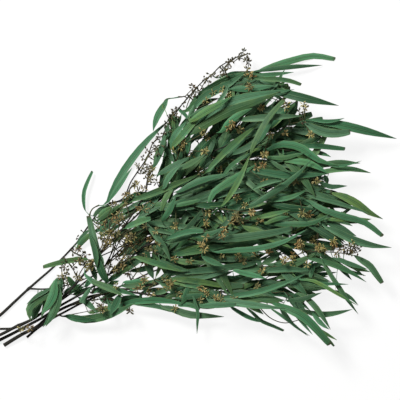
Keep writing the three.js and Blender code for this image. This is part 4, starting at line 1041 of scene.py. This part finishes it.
def twigFinish():
    finish = Finish("TwigSkin")
    where = finish.place()
    fine = finish.noise(where, 620.0, 2.0)
    mixed = finish.mix(finish.noise(where, 55.0).clipped(0.35, 0.65), twigLook["brown"], twigLook["olive"])
    mixed = finish.mix(fine.clipped(0.55, 0.75) * 0.5, mixed, twigLook["pale"])
    finish.set(Base_Color=mixed, Roughness=0.7 + fine * 0.2, Specular_IOR_Level=0.25)
    finish.bump(fine, twigLook["grain"])
    return finish.material


leafSkin, dryBark, cutWood = leafFinish(), barkFinish(), cutFinish()
dryBud, twigSkin = budFinish(), twigFinish()
print("materials made")


def onlySelect(*objects):
    bpy.ops.object.select_all(action="DESELECT")
    for each in objects:
        each.select_set(True)
    bpy.context.view_layer.objects.active = objects[0]


def copyOf(master):
    copied = master.copy()
    copied.data = master.data.copy()
    bpy.context.collection.objects.link(copied)
    return copied


def cornersOf(piece):
    values = np.empty(len(piece.data.vertices) * 3)
    piece.data.vertices.foreach_get("co", values)
    return values.reshape(-1, 3)


def moveCorners(piece, corners):
    piece.data.vertices.foreach_set("co", corners.ravel())
    piece.data.update()


# Edit mode with just these corners picked
def pickCorners(piece, picked):
    bpy.ops.object.mode_set(mode="EDIT")
    bpy.ops.mesh.select_mode(type="VERT")
    bpy.ops.mesh.select_all(action="DESELECT")
    bpy.ops.object.mode_set(mode="OBJECT")
    piece.data.vertices.foreach_set("select", picked)
    bpy.ops.object.mode_set(mode="EDIT")


def drawChart(piece, places):
    chart = piece.data.uv_layers["UVMap"].data
    for loop in piece.data.loops:
        chart[loop.index].uv = places[loop.vertex_index]


def smoothed(piece, angle, skin):
    onlySelect(piece)
    bpy.ops.object.shade_smooth_by_angle(angle=math.radians(angle))
    piece.data.materials.clear()
    piece.data.materials.append(skin)
    return piece


# Each copy of a leaf or bud has its own tone, which its finish reads
def addTone(piece):
    piece.data.color_attributes.new(name="tone", type="FLOAT_COLOR", domain="POINT")
    return piece


def setTone(piece, values):
    count = len(piece.data.vertices)
    piece.data.color_attributes["tone"].data.foreach_set("color", np.tile([*values, 1.0], count))


# Leaf, in mm, modelled once whole and once with its tip cut: a short stalk and a long thin blade
leafShape = {
    "length": 120.0, "width": 12.0, "stalk": 9.0, "stalkWidth": 0.11, "thickness": 0.5, "slant": 0.4,
    "stations": (0, 0.06, 0.14, 0.25, 0.38, 0.5, 0.62, 0.74, 0.85, 0.94, 1), "smoothTo": 50,
    "whole": (0.12, 0.4, 0.68, 0.89, 0.99, 1, 0.9, 0.69, 0.43, 0.2, 0.03),
    "cut": (0.12, 0.4, 0.68, 0.89, 0.99, 1, 0.96, 0.89, 0.8, 0.7, 0.62),
}


def modelLeaf(name, widths, isCut):
    length, stalk = leafShape["length"], leafShape["stalk"]
    shares = [-1, *leafShape["stations"]]  # the stalk is the row before the blade
    widths = [leafShape["stalkWidth"], *widths]
    last = len(shares) - 1
    bpy.ops.object.select_all(action="DESELECT")
    bpy.ops.mesh.primitive_grid_add(x_subdivisions=last, y_subdivisions=2, size=1)
    made = bpy.context.active_object
    made.name = name
    rows = np.round((cornersOf(made)[:, 0] + 0.5) * last).astype(int)
    for row, share in enumerate(shares):
        pickCorners(made, rows == row)
        reach = share * (stalk if share < 0 else length) * milli
        across = widths[row] * leafShape["width"] * milli
        bpy.ops.transform.resize(value=(1, across, 1), center_override=(0, 0, 0))
        bpy.ops.transform.translate(value=(reach - (row / last - 0.5), 0, 0))
        bpy.ops.object.mode_set(mode="OBJECT")
    if isCut:
        pickCorners(made, rows == last)
        end = (length * milli, 0, 0)
        bpy.ops.transform.rotate(value=leafShape["slant"], orient_axis="Z", center_override=end)
        bpy.ops.object.mode_set(mode="OBJECT")
    corners = cornersOf(made) / milli
    sides = corners[:, 1] / leafShape["width"] / np.array(widths)[rows]
    drawChart(made, [(max(x / length, 0.0), 0.5 + side) for x, side in zip(corners[:, 0], sides)])
    skinned = made.modifiers.new("Thickness", "SOLIDIFY")
    skinned.thickness = leafShape["thickness"] * milli
    skinned.offset = 0
    onlySelect(made)
    bpy.ops.object.modifier_apply(modifier="Thickness")
    return addTone(smoothed(made, leafShape["smoothTo"], leafSkin))


wholeLeaf = modelLeaf("WholeLeaf", leafShape["whole"], isCut=False)
squareLeaf = modelLeaf("SquareLeaf", leafShape["cut"], isCut=True)

# Bud on its own thin stalk, modelled once: a cup, the seam of its cap, and a drawn-out point
budShape = {
    "length": 8.6, "sides": 6, "smoothTo": 60,
    "heights": (0, 0.34, 0.46, 0.64, 0.7, 0.86, 1),
    "radii": (0, 0.4, 0.74, 1.0, 0.92, 0.46, 0),
}


def modelBud():
    last = len(budShape["heights"]) - 1
    bpy.ops.object.select_all(action="DESELECT")
    bpy.ops.mesh.primitive_uv_sphere_add(segments=budShape["sides"], ring_count=last, radius=1)
    made = bpy.context.active_object
    made.name = "BudOnStalk"
    polar = np.arccos(np.clip(-cornersOf(made)[:, 2], -1, 1))
    rows = np.round(polar / math.pi * last).astype(int)
    for row in range(last + 1):
        pickCorners(made, rows == row)
        turn = math.pi * row / last
        if 0 < row < last:
            spread = budShape["radii"][row] * milli / math.sin(turn)
            bpy.ops.transform.resize(value=(spread, spread, 1), center_override=(0, 0, 0))
        rise = budShape["heights"][row] * budShape["length"] * milli + math.cos(turn)
        bpy.ops.transform.translate(value=(0, 0, rise))
        bpy.ops.object.mode_set(mode="OBJECT")
    x, y, z = cornersOf(made).T
    drawChart(made, list(zip(np.arctan2(y, x) / math.tau + 0.5, z / milli / budShape["length"])))
    return addTone(smoothed(made, budShape["smoothTo"], dryBud))


budOnStalk = modelBud()
print("leaf and bud modelled:", len(wholeLeaf.data.polygons), "and", len(budOnStalk.data.polygons), "faces")


# A soft curve through stations, by distance seen from above; heights never overshoot
class Run:
    def __init__(self, stations):
        self.points = np.array(stations, dtype=float)
        flat = np.hypot(*np.diff(self.points[:, :2], axis=0).T)
        self.at = np.concatenate([[0], np.cumsum(np.maximum(flat, 1e-6))])
        self.length = self.at[-1]
        gaps = np.diff(self.at)
        slopes = np.diff(self.points, axis=0) / gaps[:, None]
        self.lean = np.vstack([slopes[:1], slopes])
        for i in range(1, len(self.points) - 1):
            before, after = slopes[i - 1], slopes[i]
            self.lean[i] = (after * gaps[i - 1] + before * gaps[i]) / (gaps[i - 1] + gaps[i])
            rising = before[2] * after[2]
            self.lean[i][2] = 2 * rising / (before[2] + after[2]) if rising > 0 else 0

    # Where the curve is after these distances, and which way it goes
    def place(self, distances):
        distances = np.clip(distances, 0, self.length)
        i = np.clip(np.searchsorted(self.at, distances, side="right") - 1, 0, len(self.at) - 2)
        gap = (self.at[i + 1] - self.at[i])[:, None]
        t = (distances - self.at[i])[:, None] / gap
        low, high = self.points[i], self.points[i + 1]
        leanLow, leanHigh = self.lean[i] * gap, self.lean[i + 1] * gap
        spot = (2 * t**3 - 3 * t**2 + 1) * low + (t**3 - 2 * t**2 + t) * leanLow
        spot = spot + (3 * t**2 - 2 * t**3) * high + (t**3 - t**2) * leanHigh
        way = (6 * t**2 - 6 * t) * low + (3 * t**2 - 4 * t + 1) * leanLow
        way = way + (6 * t - 6 * t**2) * high + (3 * t**2 - 2 * t) * leanHigh
        return spot, way / np.linalg.norm(way, axis=1)[:, None]


# How each leaf's copy differs: fold along the midrib, twist, waved margins and its lightness, darker as
# painted shade for leaves hidden low in the bunch; mm and radians
leafVary = {
    "fold": (1.4, 3.0), "foldUp": 0.5, "foldWhole": 5, "twist": 0.32, "twistReach": 1.9, "wave": (0.1, 0.6),
    "waves": (2.0, 5.0), "off": 0.3, "light": (0.1, 1.05), "hiddenPaintedShade": (0.0, 0.5), "lowest": 0.05,
}
vary = random.Random(417)


def layLeafCopy(grownLeaf, isInPaintedShade):
    master = squareLeaf if grownLeaf["cut"] else wholeLeaf
    made = copyOf(master)
    x, y, z = (cornersOf(master) / milli).T
    isStalk = x < 0
    run = Run(grownLeaf["axis"])
    bladeAt = run.at[grownLeaf["collar"]]
    share = np.where(isStalk, x / leafShape["stalk"], x / leafShape["length"])
    distances = np.where(isStalk, bladeAt * (1 + share), bladeAt + share * (run.length - bladeAt))
    spot, way = run.place(distances)
    level = np.stack([-way[:, 1], way[:, 0], np.zeros(len(way))], axis=1)
    level /= np.linalg.norm(level, axis=1)[:, None]
    up = np.cross(way, level)
    half = grownLeaf["width"] / 2
    mostTwist = min(leafVary["twist"], leafVary["twistReach"] / half)
    blade = np.clip(share, 0, 1)
    turn = grownLeaf["roll"] * blade + vary.uniform(-mostTwist, mostTwist) * np.sin(np.pi * blade)
    turn += vary.uniform(-mostTwist, mostTwist) * blade**2
    across = y / (leafShape["width"] / 2)
    aside = np.where(isStalk, y, across * half)
    fold = vary.uniform(*leafVary["fold"]) * min(1, half / leafVary["foldWhole"])
    crease = np.abs(across) if vary.random() < leafVary["foldUp"] else 1 - np.abs(across)
    waves, phase = vary.uniform(*leafVary["waves"]), vary.uniform(0, 6)
    margin = np.sin(blade * waves * math.tau + phase + np.sign(across) * vary.uniform(0.5, 2)) * across**2
    folded = crease * fold * np.sqrt(np.maximum(1 - blade, 0.02))
    rise = z + leafVary["off"] + np.where(isStalk, leafVary["off"], folded)
    rise += margin * vary.uniform(*leafVary["wave"])
    cosine, sine = np.cos(turn)[:, None], np.sin(turn)[:, None]
    placed = spot + (level * cosine + up * sine) * aside[:, None]
    placed = placed + (up * cosine - level * sine) * rise[:, None]
    placed[:, 2] = np.maximum(placed[:, 2], leafVary["lowest"])
    moveCorners(made, placed * milli)
    # leaves hidden low in the bunch get a darker lightness: painted shade
    light = vary.uniform(*leafVary["hiddenPaintedShade" if isInPaintedShade else "light"])
    setTone(made, (light, vary.random() ** 3, vary.random() ** 2))
    return made


# A round tube along each run, tapering with its radii
tubeLook = {
    "stepWood": 5.0, "stepTwig": 3.5, "woodRound": 2, "twigRound": 1, "smoothTo": 50,
    "twigShare": 0.85, "stalkRadius": (0.75, 0.55), "fineRadius": (0.95, 0.65), "knotWithin": 1,
    "swelling": 0.35, "swellReach": 2.5, "swellMost": 1.2, "slimmer": 0.25, "slimmerBy": 0.4,
}


def layTubes(name, runs, step, resolution, skin):
    bpy.ops.object.select_all(action="DESELECT")
    bpy.ops.curve.primitive_nurbs_path_add(radius=0.1)
    made = bpy.context.active_object
    made.name = name
    made.data.splines.clear()
    for stations, radiusAt in runs:
        run = Run(stations)
        distances = np.linspace(0, run.length, max(3, math.ceil(run.length / step) + 1))
        spots, _ = run.place(distances)
        line = made.data.splines.new("POLY")
        line.points.add(len(spots) - 1)
        for point, spot, distance in zip(line.points, spots, distances):
            point.radius = radiusAt(distance, distance / run.length)
            spot[2] = max(spot[2], point.radius)  # nothing reaches below the table
            point.co = (*(spot * milli), 1)
    made.data.dimensions = "3D"
    made.data.bevel_depth = milli
    made.data.bevel_resolution = resolution
    made.data.use_fill_caps = True
    onlySelect(made)
    bpy.ops.object.convert(target="MESH")
    bpy.ops.object.mode_set(mode="EDIT")
    bpy.ops.mesh.select_all(action="SELECT")
    bpy.ops.mesh.remove_doubles(threshold=0.00001)
    bpy.ops.mesh.normals_make_consistent(inside=False)
    bpy.ops.object.mode_set(mode="OBJECT")
    return smoothed(made, tubeLook["smoothTo"], skin)


def taper(radii, swellings=(), share=1.0):
    def radiusAt(distance, shareAlong):
        spot = shareAlong * (len(radii) - 1)
        low = min(int(spot), len(radii) - 2)
        radius = radii[low] + (radii[low + 1] - radii[low]) * (spot - low)
        swell = sum(math.exp(-(((distance - at) / tubeLook["swellReach"]) ** 2)) for at in swellings)
        return radius * share * (1 + tubeLook["swelling"] * min(swell, tubeLook["swellMost"]))

    return radiusAt


# How dark an umbel is: nearly black on the bare edge, darker near the stems, brightest at the leaf tips
budDark = {
    "sparse": (0.94, 1), "stemSide": (0.5, 1), "leafSide": (0, 0.8), "tipSide": (0, 0.35),
    "stemSideTo": -50, "tipSideFrom": 145,
}
# How the buds of one umbel differ
budVary = {
    "plump": (0.85, 1.15), "sparsePlump": 1.5, "longer": 1.05, "turnOn": (1.9, 2.9), "upShare": (-0.1, 1),
    "dark": (0.2, 1), "sparseDark": (0.85, 1), "straw": (0, 1), "sparseStraw": (0, 0.4),
}


def layBud(umbel, direction, length, tone):
    made = copyOf(budOnStalk)
    x, y, z = cornersOf(budOnStalk).T
    turned = Vector(direction).to_track_quat("Z", "Y").to_matrix()
    spin = vary.uniform(0, math.tau)
    cosine, sine = math.cos(spin), math.sin(spin)
    plump = vary.uniform(*budVary["plump"]) * (budVary["sparsePlump"] if umbel["sparse"] else 1)
    turnedX, turnedY = (x * cosine - y * sine) * plump, (x * sine + y * cosine) * plump
    shaped = np.stack([turnedX, turnedY, z * length / budShape["length"]], axis=1)
    moveCorners(made, shaped @ np.array(turned).T + np.array(umbel["axis"][2]) * milli)
    setTone(made, tone)
    return made


def partOf(umbel):
    x = umbel["axis"][2][0]
    if umbel["sparse"]:
        return "sparse"
    if x < budDark["stemSideTo"]:
        return "stemSide"
    return "tipSide" if x > budDark["tipSideFrom"] else "leafSide"


def layBuds(umbel):
    root, _, head = (np.array(point) for point in umbel["axis"])
    forward = head - root
    forward[2] = 0
    forward /= max(np.linalg.norm(forward), 1e-9)
    side = np.array([-forward[1], forward[0], 0])
    dark, rust = vary.uniform(*budDark[partOf(umbel)]), vary.random() ** 2

    def budTone():
        darks, straws = ("sparseDark", "sparseStraw") if umbel["sparse"] else ("dark", "straw")
        return (dark * vary.uniform(*budVary[darks]), vary.uniform(*budVary[straws]), rust)

    made = []
    for x, y, z, length in umbel["buds"]:
        direction = forward * x + side * y + np.array([0, 0, z])
        made.append(layBud(umbel, direction, length * budVary["longer"], budTone()))
    turn = vary.uniform(0, math.tau)
    for _ in range(vary.randint(*tuck["sparseBuds" if umbel["sparse"] else "umbelBuds"]) - len(made)):
        turn += vary.uniform(*budVary["turnOn"])
        rise = math.asin(vary.uniform(*budVary["upShare"]))
        direction = (math.cos(turn) * math.cos(rise), math.sin(turn) * math.cos(rise), math.sin(rise))
        made.append(layBud(umbel, direction, vary.uniform(*tuck["budLength"]), budTone()))
    return made


def finishPiece(parts, node):
    onlySelect(*parts)
    bpy.ops.object.join()
    piece = bpy.context.active_object
    piece.name = node + "Grown"
    piece.data.name = piece.name
    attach(piece, "root")
    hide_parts(node)


def growUmbels(umbels):
    return [bud for umbel in umbels for bud in layBuds(umbel)]


def growTucked(entry):
    # leaves that lie low are darkened as painted shade
    parts = [layLeafCopy(each, each["low"]) for each in entry["tuckedLeaves"] + entry["openLeaves"]]
    return parts + growUmbels(entry["tuckedUmbels"])


def stalkRuns(entry):
    runs = [(places, taper(tubeLook["fineRadius"])) for places in entry["fineTwigs"]]
    umbels = entry.get("umbels", []) + entry["tuckedUmbels"]
    return runs + [(umbel["axis"], taper(tubeLook["stalkRadius"])) for umbel in umbels]


# Past its bare foot a dried stem is slimmer, and swells where each twig and fork leaves it
def growWood(entry):
    runs = []
    feet = [other["twig"]["foot"] for other in grown if "twig" in other]
    for wood in entry["woods"]:
        starts = feet + [other["axis"][0] for other in entry["woods"] if other is not wood]
        spots = [nearest(wood["axis"], place) for place in starts]
        knots = [at for off, at in spots if off < tubeLook["knotWithin"]]
        last = (len(wood["radii"]) - 1) * tubeLook["slimmerBy"]
        slim = [1 - tubeLook["slimmer"] * min(1, i / last) for i in range(len(wood["radii"]))]
        radii = [radius * share for radius, share in zip(wood["radii"], slim)]
        runs.append((wood["axis"], taper(radii, knots)))
    made = layTubes(entry["node"], runs, tubeLook["stepWood"], tubeLook["woodRound"], dryBark)
    made.data.materials.append(cutWood)
    start = Vector(entry["woods"][0]["axis"][0]) * milli
    for face in made.data.polygons:  # the cut end of the stem shows its wood
        if len(face.vertices) > 4 and (face.center - start).length < milli:
            face.material_index = 1
    parts = [made, *growTucked(entry)]
    if stalkRuns(entry):
        parts.append(layStalks(entry["node"] + "Stalks", stalkRuns(entry)))
    finishPiece(parts, entry["node"])


def layStalks(name, runs):
    return layTubes(name, runs, tubeLook["stepTwig"], tubeLook["twigRound"], twigSkin)


def growShoot(entry):
    twig = entry["twig"]
    axis = [twig["foot"], *twig["axis"]]  # it grows out of the stem's middle
    swellings = [nearest(axis, each["axis"][0])[1] for each in entry["leaves"]]
    runs = [(axis, taper([twig["radii"][0], *twig["radii"]], swellings, tubeLook["twigShare"]))]
    parts = [layStalks(entry["node"], runs + stalkRuns(entry))]
    # the fill leaves, laid first under the others, are darkened as painted shade
    parts += [layLeafCopy(each, index < entry["more"]) for index, each in enumerate(entry["leaves"])]
    parts += growUmbels(entry["umbels"]) + growTucked(entry)
    finishPiece(parts, entry["node"])


for entry in grown:
    if "woods" in entry:
        growWood(entry)
    else:
        growShoot(entry)
for master in (wholeLeaf, squareLeaf, budOnStalk):
    bpy.data.objects.remove(master, do_unlink=True)
print("pieces grown")

# Floor and soft studio light
studio = {
    "floor": tint(84, 84, 83), "floorSize": 40, "floorDrop": -0.0006, "glow": 0.86, "world": 0.2,
    "keyPower": 280.0, "keySize": 1.1, "keyPlace": (-1.7, 2.0, 3.0),
    "fillPower": 16.0, "fillSize": 2.4, "fillPlace": (2.4, -1.6, 2.2),
}
bpy.ops.object.select_all(action="DESELECT")
bpy.ops.mesh.primitive_plane_add(size=studio["floorSize"], location=(0, 0, studio["floorDrop"]))
floor = bpy.context.active_object
floor.name = "PaleFloor"
floorFinish = Finish("PaleFloor")
floorFinish.set(Base_Color=studio["floor"], Roughness=0.9, Emission_Color=(1, 1, 1, 1))
floorFinish.set(Emission_Strength=studio["glow"])  # a lit table, as in the photograph
floor.data.materials.append(floorFinish.material)


def studioLamp(name, power, size, place):
    bpy.ops.object.light_add(type="AREA", location=place)
    lamp = bpy.context.active_object
    lamp.name = name
    lamp.data.energy = power
    lamp.data.size = size
    lamp.rotation_euler = (-Vector(place)).to_track_quat("-Z", "Y").to_euler()  # aimed at the bunch


for kind in ("key", "fill"):
    studioLamp(kind.title() + "Lamp", studio[kind + "Power"], studio[kind + "Size"], studio[kind + "Place"])
world = bpy.data.worlds.new("PaleRoom")
bpy.context.scene.world = world
world.use_nodes = True
world.node_tree.nodes["Background"].inputs["Color"].default_value = (1, 1, 1, 1)
world.node_tree.nodes["Background"].inputs["Strength"].default_value = studio["world"]
bpy.context.scene.view_settings.view_transform = "Standard"
